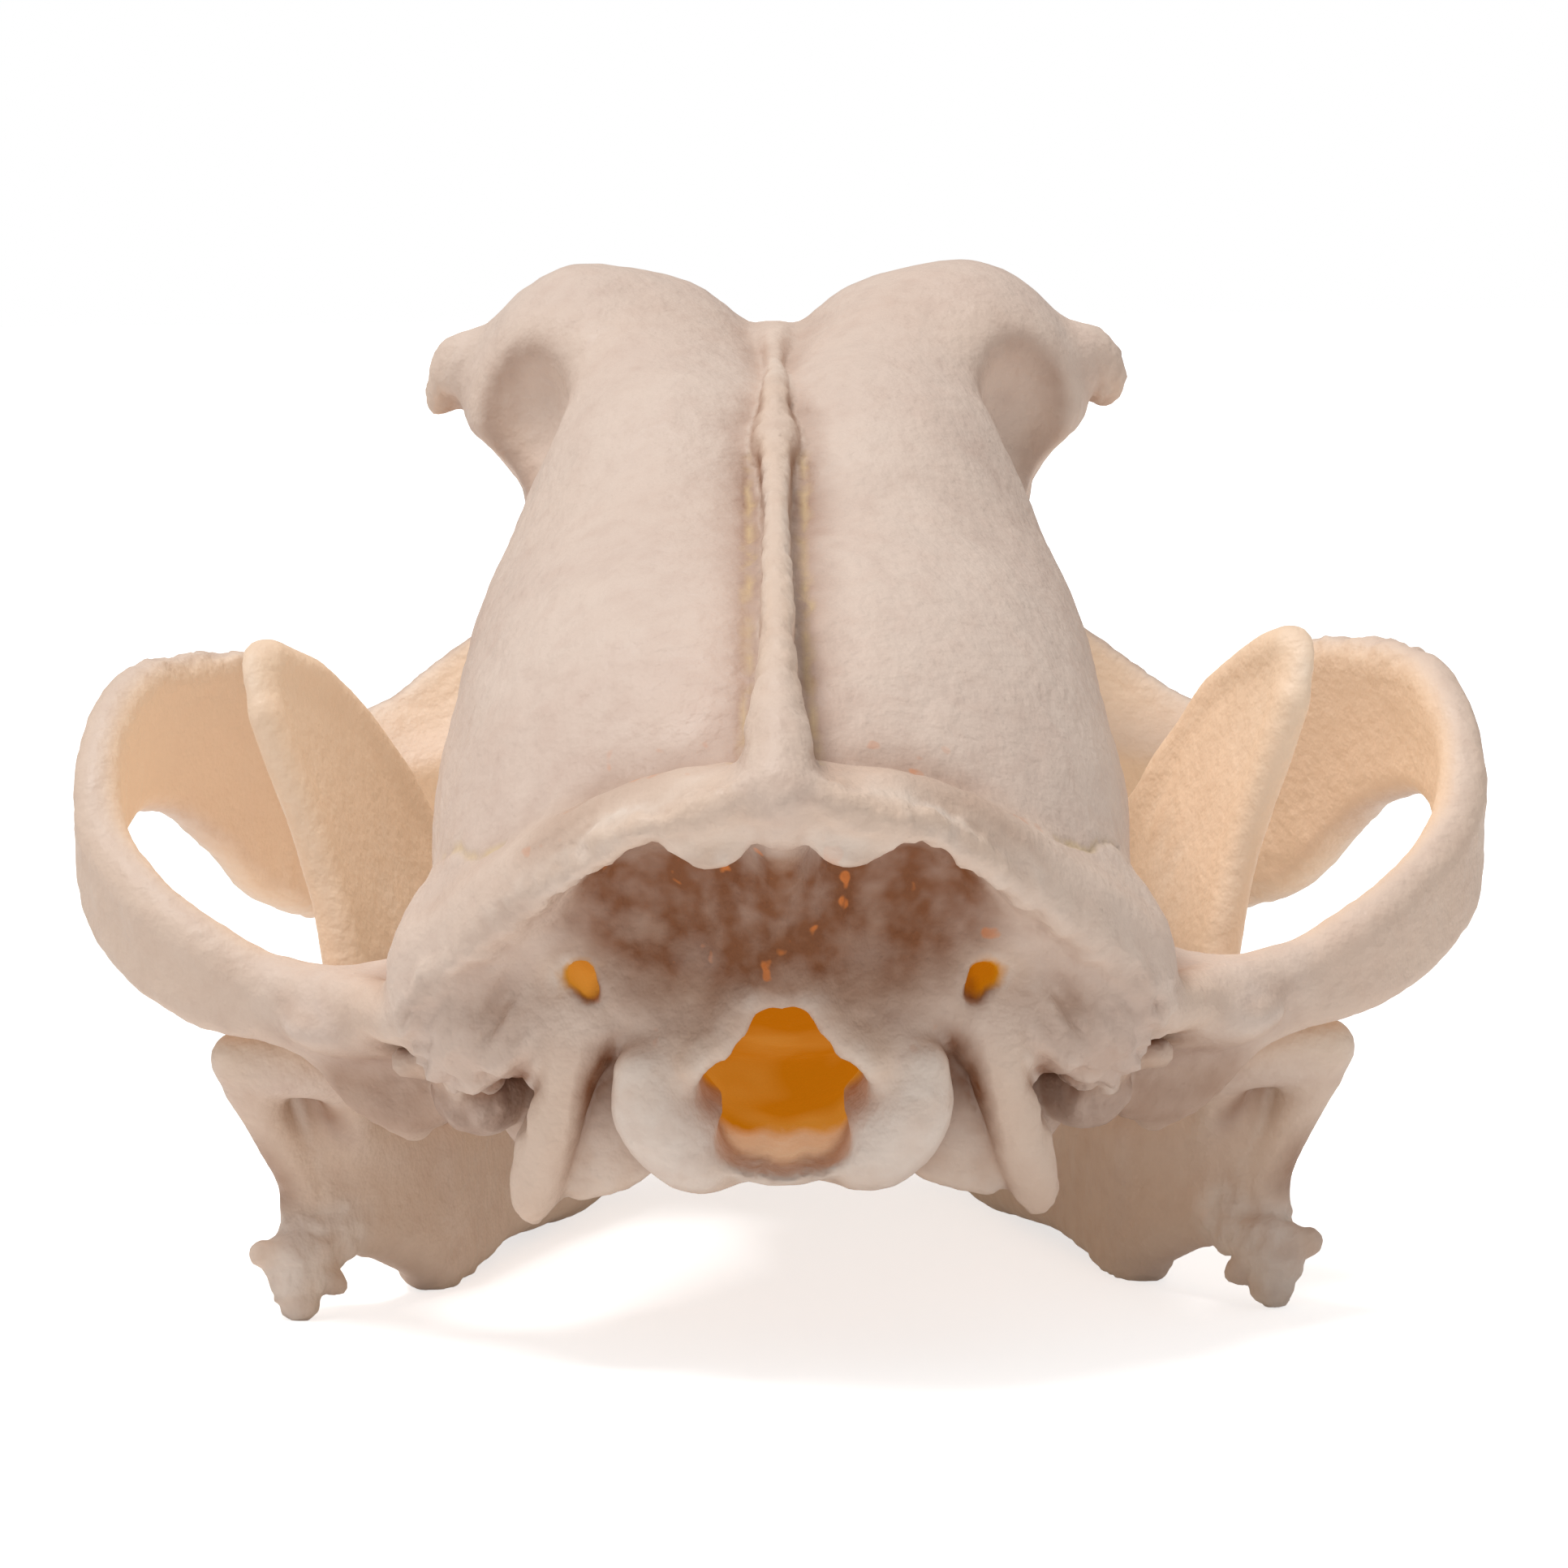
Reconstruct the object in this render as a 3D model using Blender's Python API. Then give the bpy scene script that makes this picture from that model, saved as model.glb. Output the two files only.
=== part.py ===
"""Skull of a short-faced dog with its lower jaw in place, life size, resting on the jaw.

Shapes are given in millimetres in the skull's own axes: x to the skull's right, y forward along
the palate, z up, with the origin under the occipital condyles. Each bone is a smooth blend of
simple forms (eggs, tapered limbs, straps and blades), worked out for the right half and mirrored.
The finished bones are tipped nose up to their resting pose and scaled to metres.
"""

import math

import bmesh
import bpy
import numpy as np
import openvdb
from mathutils import Matrix, Vector

# Driving sizes, in millimetres unless named otherwise

NOSE_UP_DEG = 15.0
FLOOR_LEVEL = -16.2
JOINT_GAP = 0.3
GRAIN = 1.0
CRANIUM_TRIANGLES = 9600
JAW_TRIANGLES = 5200

CHEEK_HALF_WIDTH = 66.0
BRAINCASE_HALF_WIDTH = 31.5
INION_HEIGHT = 42.5
FOREHEAD_HEIGHT = 61.0
SNOUT_TIP = 142.5
CHIN_TIP = 157.0
UPPER_GUM = -12.0
LOWER_GUM = -20.5
JAW_JOINT = (45.0, 27.5, 1.7)

BRAINCASE_FRONT = 66.0
ROOF_SEAM_HEIGHT = 21.0
ARCH_INNER = 40.0
FACE_SEAM_POINT = (0.0, 72.0, 6.0)
FACE_SEAM_DEG = 47.0

EMPTY_SPACE = 30.0
WIDE = 200.0


# Forms

def turned(x, y, z, pitch, yaw):
    """Offsets seen along the axes of a form pitched nose up and yawed outwards, in degrees."""
    cp, sp = math.cos(math.radians(pitch)), math.sin(math.radians(pitch))
    cw, sw = math.cos(math.radians(yaw)), math.sin(math.radians(yaw))
    x, y = x * cw - y * sw, x * sw + y * cw
    return x, y * cp + z * sp, z * cp - y * sp


def egg(centre, radii, pitch=0.0, yaw=0.0):
    """An ellipsoid."""
    def distance(x, y, z):
        x, y, z = turned(x - centre[0], y - centre[1], z - centre[2], pitch, yaw)
        reach = np.sqrt((x / radii[0]) ** 2 + (y / radii[1]) ** 2 + (z / radii[2]) ** 2)
        slope = np.sqrt((x / radii[0] ** 2) ** 2 + (y / radii[1] ** 2) ** 2 + (z / radii[2] ** 2) ** 2)
        return reach * (reach - 1) / np.maximum(slope, 1e-6)

    size = max(radii)
    return np.subtract(centre, size), np.add(centre, size), distance


def smooth_rows(rows, steps=5):
    """Rows of numbers read along a smooth curve through the given rows."""
    rows = np.array(rows, float)
    ends = np.vstack([2 * rows[0] - rows[1], rows, 2 * rows[-1] - rows[-2]])
    out = []
    for a, b, c, d in zip(ends, ends[1:], ends[2:], ends[3:]):
        for t in np.arange(steps) / steps:
            out.append(b + 0.5 * t * (c - a + t * (2 * a - 5 * b + 4 * c - d + t * (3 * b - a - 3 * c + d))))
    out.append(rows[-1])
    return np.array(out)


def limb(*rows):
    """A round limb through rows of x, y, z and radius."""
    rows = smooth_rows(rows)

    def distance(x, y, z):
        nearest = np.float32(EMPTY_SPACE)
        for a, b in zip(rows, rows[1:]):
            run = b[:3] - a[:3]
            dx, dy, dz = x - a[0], y - a[1], z - a[2]
            along = np.clip((dx * run[0] + dy * run[1] + dz * run[2]) / (run @ run), 0, 1)
            gap = (dx - along * run[0]) ** 2 + (dy - along * run[1]) ** 2 + (dz - along * run[2]) ** 2
            nearest = np.minimum(nearest, np.sqrt(gap) - (a[3] + along * (b[3] - a[3])))
        return nearest

    return (rows[:, :3] - rows[:, 3:4]).min(0), (rows[:, :3] + rows[:, 3:4]).max(0), distance


def strap(*rows, up=(0, 0, 1)):
    """A flat band through rows of x, y, z, half its height along up and half its thickness."""
    rows = smooth_rows(rows)

    def distance(x, y, z):
        nearest = np.float32(EMPTY_SPACE)
        for a, b in zip(rows, rows[1:]):
            run = b[:3] - a[:3]
            rise = np.array(up, float) - run * (np.dot(up, run) / (run @ run))
            rise /= np.linalg.norm(rise)
            dx, dy, dz = x - a[0], y - a[1], z - a[2]
            along = np.clip((dx * run[0] + dy * run[1] + dz * run[2]) / (run @ run), 0, 1)
            dx, dy, dz = dx - along * run[0], dy - along * run[1], dz - along * run[2]
            thick = a[4] + along * (b[4] - a[4])
            flat = a[3] + along * (b[3] - a[3]) - thick
            slide = np.clip(dx * rise[0] + dy * rise[1] + dz * rise[2], -flat, flat)
            gap = (dx - slide * rise[0]) ** 2 + (dy - slide * rise[1]) ** 2 + (dz - slide * rise[2]) ** 2
            nearest = np.minimum(nearest, np.sqrt(gap) - thick)
        return nearest

    return (rows[:, :3] - rows[:, 3:4]).min(0), (rows[:, :3] + rows[:, 3:4]).max(0), distance


def edge_distance(outline, y, z):
    """Distance in the side view from a closed outline, negative inside it."""
    nearest = np.full(np.broadcast_shapes(y.shape, z.shape), EMPTY_SPACE ** 2)
    inside = np.zeros(nearest.shape, bool)
    for a, b in zip(outline, np.roll(outline, -1, axis=0)):
        run = b - a
        along = np.clip(((y - a[0]) * run[0] + (z - a[1]) * run[1]) / (run @ run), 0, 1)
        gap = (y - a[0] - along * run[0]) ** 2 + (z - a[1] - along * run[1]) ** 2
        nearest = np.minimum(nearest, gap)
        if a[1] != b[1]:
            crossed = (a[1] > z) != (b[1] > z)
            inside ^= crossed & (y < a[0] + (z - a[1]) * run[0] / run[1])
    return np.where(inside, -1, 1) * np.sqrt(nearest)


def blade(outline, middle, half, span=(0, 70)):
    """A plate with the given outline in the side view. Its mid surface is at x = middle(y, z)."""
    outline = smooth_rows(outline + outline[:1])[:-1]

    def distance(x, y, z):
        thick = half(y, z)
        edge = np.maximum(edge_distance(outline, y, z) + thick, 0)
        return np.sqrt(edge ** 2 + (x - middle(y, z)) ** 2) - thick

    low = (span[0], outline[:, 0].min(), outline[:, 1].min())
    high = (span[1], outline[:, 0].max(), outline[:, 1].max())
    return low, high, distance


# Blending

class Clay:
    """The right half of a block of space. Each grain holds its distance from the bone's surface."""

    def __init__(self, low, high, grain):
        self.grain = grain
        self.axes = [np.arange(a, b + grain, grain, dtype=np.float32) for a, b in zip(low, high)]
        self.values = np.full([len(axis) for axis in self.axes], EMPTY_SPACE, np.float32)

    def part(self, low, high, margin):
        """The grains of a box, as slices and as the coordinates of its grains."""
        spans = []
        for axis, a, b in zip(self.axes, low, high):
            start, stop = np.searchsorted(axis, (a - margin, b + margin))
            spans.append(slice(int(start), int(stop)))
        x, y, z = (axis[span] for axis, span in zip(self.axes, spans))
        return tuple(spans), x[:, None, None], y[None, :, None], z[None, None, :]

    def add(self, form, blend=0.0, sign=1):
        """Join a form, filling the corner between it and the rest over the width of blend."""
        low, high, distance = form
        spans, x, y, z = self.part(low, high, blend + 2 * self.grain)
        old = self.values[spans] * sign
        new = np.asarray(distance(x, y, z), np.float32)
        if blend:
            overlap = np.maximum(blend - np.abs(old - new), 0) / blend
            self.values[spans] = sign * (np.minimum(old, new) - overlap ** 3 * blend / 6)
        else:
            self.values[spans] = sign * np.minimum(old, new)

    def cut(self, form, blend=0.0):
        """Take a form away, rounding the rim over the width of blend."""
        self.add(form, blend, sign=-1)

    def surface(self, name):
        """The surface of both halves as a mesh object in millimetres."""
        both = np.concatenate([self.values[:0:-1], self.values])
        band = 3 * self.grain
        grid = openvdb.FloatGrid(band)
        grid.copyFromArray(np.clip(both, -band, band))
        points, triangles, quads = grid.convertToPolygons(isovalue=0.0)
        points = points * self.grain
        points += (-self.axes[0][-1], self.axes[1][0], self.axes[2][0])
        mesh = bpy.data.meshes.new(name)
        mesh.from_pydata(points.tolist(), [], triangles.tolist() + quads.tolist())
        bone = bpy.data.objects.new(name, mesh)
        bpy.context.scene.collection.objects.link(bone)
        return bone


# Cranium

def add_braincase(clay):
    clay.add(egg((0, 29, 22.5), (BRAINCASE_HALF_WIDTH, 34, 24)))
    clay.add(egg((7.5, 47, 31), (21.5, 38, 19)), 9)
    clay.add(egg((8.5, 67, 39), (15, 27, 17.5)), 9)
    clay.add(limb((8.5, 46, 40.5, 8.5), (10.5, 60, 44.5, 9), (12.5, 74, 48, 9.5)), 8)
    clay.add(egg((0, 18, 5), (12, 24, 5.5)), 4)
    clay.add(limb((0, 38, 6, 7), (0, 55, 9, 7), (0, 74, 12, 8)), 6)


def nuchal_edge():
    """The edge of the crest that runs across the back of the head."""
    return limb((0, -10, INION_HEIGHT - 1.8, 1.9), (5.4, -9.2, 39.3, 1.5), (8.8, -8.2, 37.9, 1.4),
                (12.6, -6.6, 36.4, 1.4), (16, -4, 33.2, 1.3), (21, 0, 28, 1.2), (26, 3.4, 22.9, 1.2),
                (30.4, 6.6, 18, 1.3), (32.2, 8.8, 14.6, 1.6))


def add_occiput(clay):
    clay.add(limb((0, 9, 30, 10), (14, 11, 26, 9), (26, 15, 17, 8)), 6)
    clay.add(egg((0, 7, 15), (14, 9, 13)), 4)
    clay.add(limb((0, -4.6, 38.8, 3.6), (12, -1, 34.4, 3.2), (23, 5, 24.6, 3), (30, 11, 15.6, 3)), 8)
    clay.add(limb((0, -7.5, 39.8, 2.4), (7, -6.4, 38, 2), (15, -2.6, 33, 2), (25, 3.8, 23.2, 2)), 4)
    clay.cut(egg((10, -7.5, 25.5), (13, 9, 11.5), yaw=-20), 6)
    clay.cut(egg((20.5, -4, 19.5), (8, 5.6, 8), yaw=-38), 5)
    clay.add(limb((9, -4, 38, 1.8), (16, -1, 34.4, 2), (21, 3, 29.4, 2), (26, 6.6, 24.2, 2), (31, 10, 18.4, 2)), 5)
    clay.add(nuchal_edge(), 2)
    clay.add(egg((0, 3, 26), (4.5, 3.6, 10)), 5)
    clay.add(limb((0, -4, 34, 1.4), (0, -1, 28, 0.9), (0, -1.6, 23, 0.9), (0, -2, 20, 1.5)), 4)
    clay.add(strap((3.4, -9, 38, 1.8, 1.1), (5.6, -8.8, 36.4, 2.7, 1.1), (8.6, -7.9, 36.6, 1.8, 1.1)), 2)


def add_sagittal_crest(clay):
    clay.add(strap((0, -8.5, 39.6, 4.5, 2.9), (0, -2, 42.6, 4.5, 2.6), (0, 6, 44.8, 4.3, 1.6), (0, 18, 47.2, 4, 1.2),
                   (0, 35, 49, 4, 1.1), (0, 47, 50.3, 4, 1.4), (0, 52, 51, 4, 2.3), (0, 58, 52.2, 4, 1.4),
                   (0, 66, 52.8, 3.2, 0.9), (0, 76, 53.6, 2.4, 0.8), (0, 85, 53.4, 1.8, 0.7)), 1.8)


def add_forehead(clay):
    clay.add(egg((11.5, 84, FOREHEAD_HEIGHT - 16.4), (12, 16, 15)), 6)
    clay.add(egg((18, 84, FOREHEAD_HEIGHT - 15.4), (12.6, 15.5, 15.6)), 5)
    clay.add(egg((0, 81, 43.4), (9, 15, 11)), 4)
    clay.add(egg((10, 94, 35), (14, 14, 16)), 7)
    clay.add(limb((22, 85, 48.5, 6.5), (26.5, 86.5, 49.8, 4.8), (30.6, 87.3, 50.6, 3.3), (32.3, 87.6, 48.6, 2.3),
                  (33, 87.4, 46.8, 1.3)), 3)


def add_skull_base(clay):
    clay.add(limb((4.9, 1.5, 4.2, 3.4), (8, -0.6, 5, 4), (11, -1.5, 8.6, 3.6), (11.9, -1.4, 12.2, 2.6)), 1.2)
    clay.add(limb((0, -1.2, 20.2, 1.7), (2.8, -1.8, 18.6, 1.6), (4.8, -2, 15.6, 1.8), (7, -1.8, 13.2, 2.4)), 2)
    clay.add(egg((8.6, 0.6, 13), (4.6, 3.4, 3.6)), 2)
    clay.add(limb((15, 4.4, 18, 3.2), (17.6, 2.4, 13, 2.5), (19.6, 2.6, 7, 2.3), (21.3, 3.8, 1.5, 2.4),
                  (22, 4.8, -1.8, 2.1), (22.3, 5.5, -3.4, 1.3)), 2.5)
    clay.add(strap((11.5, 4.4, 8, 5, 1.4), (15.8, 5, 4.4, 6, 1.1), (20, 5.4, 1.4, 4.6, 1)), 2.5)
    clay.add(egg((18.5, 24, 2), (8.5, 12, 8)), 4)
    clay.add(egg((28, 10.5, 13), (4.6, 5.4, 7)), 3)
    clay.add(limb((30, 9.6, 15.6, 2.6), (25.5, 7, 12.6, 3.4), (21.5, 5.4, 13.4, 3.4), (18.5, 4.6, 15.4, 3)), 5)
    clay.add(limb((27.4, 9, 9.6, 2.2), (26, 9.4, 7.4, 1.4)), 1.5)
    clay.add(egg((27, 14.8, 3.8), (4.2, 4, 3.8)), 2)
    clay.add(limb((28, 13.2, 6.4, 2.2), (31, 13.6, 7.2, 1.7), (33.6, 13.8, 7.1, 1.2)), 1.5)
    clay.add(strap((41.5, 23.4, 7.4, 3.2, 2), (38.4, 22.2, 5.6, 5, 2.2), (35, 21.2, 4.6, 7, 2.3),
                   (32, 20, 6, 7, 2.5)), 3)
    clay.add(limb((34.6, 21, 1, 2.6), (33.6, 21.2, -2, 1.6)), 2)
    clay.add(strap((9.5, 45, -3, 5, 1.2), (10, 52, -2, 8, 1.3), (11, 61, -1, 9, 1.6), (13, 72, 1, 9, 2.5)), 4)
    clay.add(limb((9.8, 47.5, -8, 1.5), (10.3, 44, -10.5, 1.1)), 1.5)


def add_snout(clay):
    clay.add(egg((0, 100, 12), (22, 33, 22)), 8)
    clay.add(egg((12, 106, 3), (17, 29, 15)), 6)
    clay.add(egg((0, 106, -2), (25, 36, 6)), 4)
    clay.add(strap((44, 88, 3, 10, 3), (37, 91.5, 6, 11, 4.5), (29, 94, 9, 12, 6), (20, 95, 12, 12, 6)), 4)
    clay.add(limb((29, 82, -4, 4.4), (31, 89, -5.8, 6), (29, 99, -6, 6), (25.5, 110, -6.5, 5.4), (22.5, 120, -6.5, 5.2),
                  (20.5, 128.5, -6, 5.6), (13, 135.5, -6.5, 5), (5, 138.5, -7, 4.2), (0, SNOUT_TIP - 4, -7, 4)), 5)
    clay.add(limb((17, 116, 11, 4.5), (19.3, 124, 2, 5.2), (20.5, 129, -6, 5.4)), 4)
    clay.add(limb((5, 97, 34, 5), (6, 108, 29.5, 4.5), (6.2, 118, 26, 3.6), (5.5, 124, 25, 2.6)), 5)


def add_cheek_arch(clay):
    clay.add(strap((33, 22, 8.5, 5.5, 4), (41, 24, 7.8, 4, 3.2), (46.5, 25.7, 8.4, 4.1, 2.9), (52.6, 28.6, 10, 5.1, 2.6),
                   (58.4, 34.4, 11.8, 5.7, 2.4), (CHEEK_HALF_WIDTH - 2.9, 42.5, 14.8, 5.7, 2.3),
                   (CHEEK_HALF_WIDTH - 2.1, 51, 19.8, 5.8, 2.2), (61.8, 60, 21.6, 6.9, 2.2),
                   (57, 68, 19, 8.5, 2.3), (51.8, 75, 14.3, 10.9, 2.4), (48.3, 80, 9.2, 12, 2.6),
                   (44.6, 85, 5.4, 11.4, 3.2), (40.5, 89, 4.4, 10, 3.6), (34, 92, 4, 9, 4.5)), 4)
    clay.add(limb((50.2, 77.2, 22, 1.8), (47.8, 81, 18.4, 2), (44, 87, 14.4, 2.4), (36, 92, 17, 2.6),
                  (29, 93.5, 21, 3), (24, 93, 28, 4), (20, 91, 38, 5)), 4)
    clay.add(limb((33, 11, 12.5, 2.4), (38, 18.5, 10.8, 2.6), (45, 24.2, 10, 2.4)), 3)
    clay.add(egg((38, 20.5, 8.5), (7, 5, 3)), 3)


def carve_cranium(clay):
    clay.cut(egg((37, 84, 27), (16.5, 15, 18)), 4)
    clay.cut(egg((33, 76, 37), (9.5, 13, 9)), 5)
    clay.cut(egg((25.5, 70.5, 50.5), (5.5, 6.5, 7.5)), 5)
    for shift, height, radius in ((0, 15.6, 3), (1.6, 13.4, 2.8), (4.4, 10.7, 2.9), (0, 11, 4), (3.2, 5.8, 2.6),
                                  (0, 5.4, 2.4)):
        clay.cut(limb((shift, -20, height, radius), (shift, 8, height + 1, radius)), 0.8)
    clay.cut(limb((0, -20, 0.6, 1.1), (0, 3, 0.8, 0.9)), 0.8)
    clay.cut(egg((0, 31, 19.5), (22.5, 29, 16)), 3)
    clay.cut(egg((0, 11, 11), (8.5, 9, 7.5)), 2)
    clay.cut(limb((0, 44, -3, 7.5), (0, 60, -1, 8), (0, 84, 1, 6.5)), 3)
    clay.cut(egg((0, 134, 13.5), (11, 21, 10.5), pitch=-18), 3)
    clay.cut(limb((31, 106, 5, 3.2), (27.5, 98, 5, 2.8), (25, 90, 6, 3)), 1.5)
    clay.cut(limb((3.5, 137, -16, 1.8), (3.5, 131, -4, 1.8)), 1)


def seat_jaw_joint(clay):
    low, high, distance = jaw_condyle()
    clay.cut((low, high, lambda x, y, z: distance(x, y, z) - 3 * JOINT_GAP), 0.8)


# Lower jaw

def jaw_condyle():
    x, y, z = JAW_JOINT
    return limb((x - 6.5, y + 0.8, z - 0.6, 2.8), (x, y, z, 3.4), (x + 4.8, y - 0.4, z + 0.4, 2.6))


def jaw_middle(y, z):
    """How far out the jaw's plate lies. It flares towards the angle and leans out as it rises."""
    flare = np.minimum(0.044 * np.maximum(41 - y, 0) ** 2, 7.5)
    lean = 0.12 * (z + 25) + 0.28 * np.maximum(z - 5, 0)
    return 22.5 + 0.26 * (86.5 - y) + flare + lean


def add_jaw_plate(clay):
    outline = [(77, -20), (70, -5), (63, 11), (57, 25), (51.5, 33.5), (45.5, 35), (41.5, 29), (40, 18), (37, 8),
               (30.5, 1), (29.5, -6), (30.5, -13), (29, -19), (33, -20.5), (38, -25), (42, -28.3), (60, -31), (76, -34)]

    def half(y, z):
        return 1.5 + 1.1 * np.clip((10 - z) / 30, 0, 1) + 0 * y

    clay.add(blade(outline, jaw_middle, half))
    clay.add(limb((47.2, 47.5, 34, 1.4), (41.9, 57, 26, 1.8), (34.2, 64.5, 8, 2.2), (31.2, 70.5, -9, 2.6)), 3)
    clay.add(limb((47.4, 42.8, 30, 1.4), (43, 40.3, 17, 1.6), (40.4, 36.5, 7, 2)), 2)
    clay.add(jaw_condyle(), 2.5)
    clay.add(limb((48.8, 28.2, -1, 2.6), (46.8, 29.6, -7, 2), (45.2, 31, -12, 2), (44.8, 31, -16, 2.4)), 3)
    clay.add(limb((40.5, 29, 0, 2.6), (40, 33.5, -8, 2), (37.5, 41, -14, 2)), 4)
    clay.add(limb((42.5, 32, -17, 3), (45.4, 28, -19.2, 2.8), (45.2, 26.6, -22.4, 1.8)), 2)
    clay.add(limb((45.6, 28.2, -18, 2.2), (48.4, 27.4, -17.8, 1.4)), 1)
    clay.add(limb((44, 28.6, -20, 2), (42, 28, -20.9, 1.3)), 1)


def add_jaw_body(clay):
    clay.add(strap((34, 44, -20, 8.5, 3), (32.3, 54, -20.4, 9.8, 3.4), (29.6, 64, -22.4, 10, 4), (26, 75, -25.9, 10, 4.5),
                   (22.8, 86.5, -29.6, 10.6, 4.8), (20, 98, -30.6, 10.2, 4.8), (17, 110, -30, 10, 4.7),
                   (13.8, 122, -28.8, 8.9, 4.4), (11.8, 133, -26.6, 7.3, 4.6), (10, 142, -23.2, 6.8, 5),
                   (7.2, CHIN_TIP - 8, -18.8, 6.5, 5.4), (0, CHIN_TIP - 5, -16, 6, 5)), 4)
    clay.add(limb((6, 124, -29.5, 4.6), (4, 135, -27.5, 5), (0, 143, -24.5, 5.8), (0, 149, -19.5, 6)), 4)


def carve_jaw(clay):
    clay.cut(limb((32, 42, -8, 1.6), (36, 52, -16, 1.8)), 1)
    clay.cut(limb((24, 122, -25, 1.6), (14, 116, -27, 1.6)), 1)
    clay.cut(egg((45.5, 55, 1), (7.5, 13, 15), pitch=-20, yaw=14), 4)


# Teeth

def jaw_gum(y):
    """Height of the lower gum line, which rises to the chin and behind the last tooth."""
    return LOWER_GUM + 0.02 * max(y - 130, 0) ** 2 + 0.02 * max(90 - y, 0) ** 2


def tooth(place, crown, height, lean=(0, 0), down=True):
    """A crown of half-length and half-width, with a point, set on the gum line and rooted in the bone."""
    x, y = place
    length, width = crown
    side = -1 if down else 1
    gum = UPPER_GUM if down else jaw_gum(y)
    tip = (x + lean[0], y + lean[1])
    rows = ((x, y, gum - 6 * side, length * 0.7, width * 0.7), (x, y, gum + 0.5 * side, length, width),
            (x + 0.5 * lean[0], y + 0.5 * lean[1], gum + height * 0.55 * side, length * 0.62, width * 0.62),
            (*tip, gum + (height - 0.8) * side, 0.8, 0.7))
    return strap(*rows, up=(0, 1, 0))


UPPER_TEETH = (
    ((2.6, 139.3), (1.9, 1.9), 5, (0, 0.5)), ((7.2, 138.2), (2.1, 2.1), 5.5, (0.2, 0.5)),
    ((12.2, 135.8), (2.6, 2.4), 5, (0.8, 0.5)), ((21.6, 128), (4.8, 3.5), 18, (2.8, -3)),
    ((22.8, 118.6), (2.6, 2), 5, (0, 0)), ((24.4, 111.6), (3.8, 2.2), 6.5, (0, -0.3)),
    ((27, 103.6), (4.6, 2.6), 7.5, (0, -0.3)), ((30.2, 96.5), (4.8, 3.2), 10, (0.8, -1)),
    ((32, 90), (3.8, 2.8), 7, (0.6, 0)), ((32.4, 84.4), (3.6, 3.2), 5, (0.6, 0)),
    ((28.4, 80.4), (2.4, 3), 2.6, (0, 0)),
)

LOWER_TEETH = (
    ((2, 154), (1.8, 1.8), 4.6, (0, 1)), ((5.4, 152.8), (2, 2), 5, (0.2, 1)), ((8.8, 150.6), (2.2, 2.2), 5, (0.6, 0.8)),
    ((12.2, 146.4), (4.2, 3.3), 16, (2.4, 1.5)), ((13, 132.4), (1.8, 1.6), 2.6, (0, 0)),
    ((14.4, 127), (3, 2), 4.6, (0, 0)), ((16.2, 120), (4, 2.2), 6, (0, 0)), ((18.2, 110.6), (4.6, 2.5), 7, (0, 0)),
    ((20.8, 99.8), (4.4, 2.8), 8.5, (0, 0)), ((22, 93.6), (4.4, 3), 10, (0, 0)), ((23.4, 87.4), (3.2, 2.6), 5, (0, 0)),
    ((24.4, 81.6), (2.8, 2.2), 3, (0, 0)), ((25.4, 77), (1.6, 1.6), 1.6, (0, 0)),
)


# Solids

def swapped(bone, mesh):
    """Give a bone a new mesh and drop its old one."""
    old = bone.data
    bone.data = mesh
    bpy.data.meshes.remove(old)


def modified(bone, kind, **settings):
    """Apply one modifier to a bone."""
    step = bone.modifiers.new(kind.title(), kind)
    for key, value in settings.items():
        setattr(step, key, value)
    graph = bpy.context.evaluated_depsgraph_get()
    mesh = bpy.data.meshes.new_from_object(bone.evaluated_get(graph))
    bone.modifiers.remove(step)
    swapped(bone, mesh)


def islands(mesh):
    """The separate surfaces of a mesh, each as a list of faces."""
    found = []
    seen = set()
    for start in mesh.faces:
        if start in seen:
            continue
        seen.add(start)
        island = [start]
        for face in island:
            near = {other for edge in face.edges for other in edge.link_faces} - seen
            seen |= near
            island.extend(near)
        found.append(island)
    return found


def keep_largest(bone):
    """Drop every loose scrap, so that the bone is one closed surface with its faces outwards."""
    mesh = bmesh.new()
    mesh.from_mesh(bone.data)
    for island in sorted(islands(mesh), key=len)[:-1]:
        bmesh.ops.delete(mesh, geom=island, context="FACES")
    bmesh.ops.triangulate(mesh, faces=mesh.faces)
    bmesh.ops.recalc_face_normals(mesh, faces=mesh.faces)
    mesh.to_mesh(bone.data)
    mesh.free()


def thinned(bone, triangles):
    """Reduce a bone to about the given number of triangles."""
    keep_largest(bone)
    modified(bone, "DECIMATE", ratio=triangles / len(bone.data.polygons), use_symmetry=True, symmetry_axis="X")
    keep_largest(bone)


def block(name, low, high, cutters):
    """A box that marks out a part of space, in the bones' own axes."""
    low, high = Vector(low), Vector(high)
    cube = bmesh.new()
    bmesh.ops.create_cube(cube, size=1, matrix=Matrix.Translation((low + high) / 2)
                          @ Matrix.Diagonal(high - low).to_4x4())
    mesh = bpy.data.meshes.new(name)
    cube.to_mesh(mesh)
    cube.free()
    cutter = bpy.data.objects.new(name, mesh)
    cutters.objects.link(cutter)
    cutter.hide_render = True
    cutter.display_type = "WIRE"
    return cutter


def share(source, name, *blocks):
    """A named copy of the part of a bone that lies inside all the given blocks."""
    node = bpy.data.objects.new(name, source.data.copy())
    bpy.context.scene.collection.objects.link(node)
    for cutter in blocks:
        modified(node, "BOOLEAN", operation="INTERSECT", object=cutter)
    keep_largest(node)
    return node


def bone_material(name, colour, roughness):
    material = bpy.data.materials.new(name)
    material.use_nodes = True
    shader = material.node_tree.nodes["Principled BSDF"]
    shader.inputs["Base Color"].default_value = (*colour, 1)
    shader.inputs["Roughness"].default_value = roughness
    shader.inputs["Metallic"].default_value = 0
    return material


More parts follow.
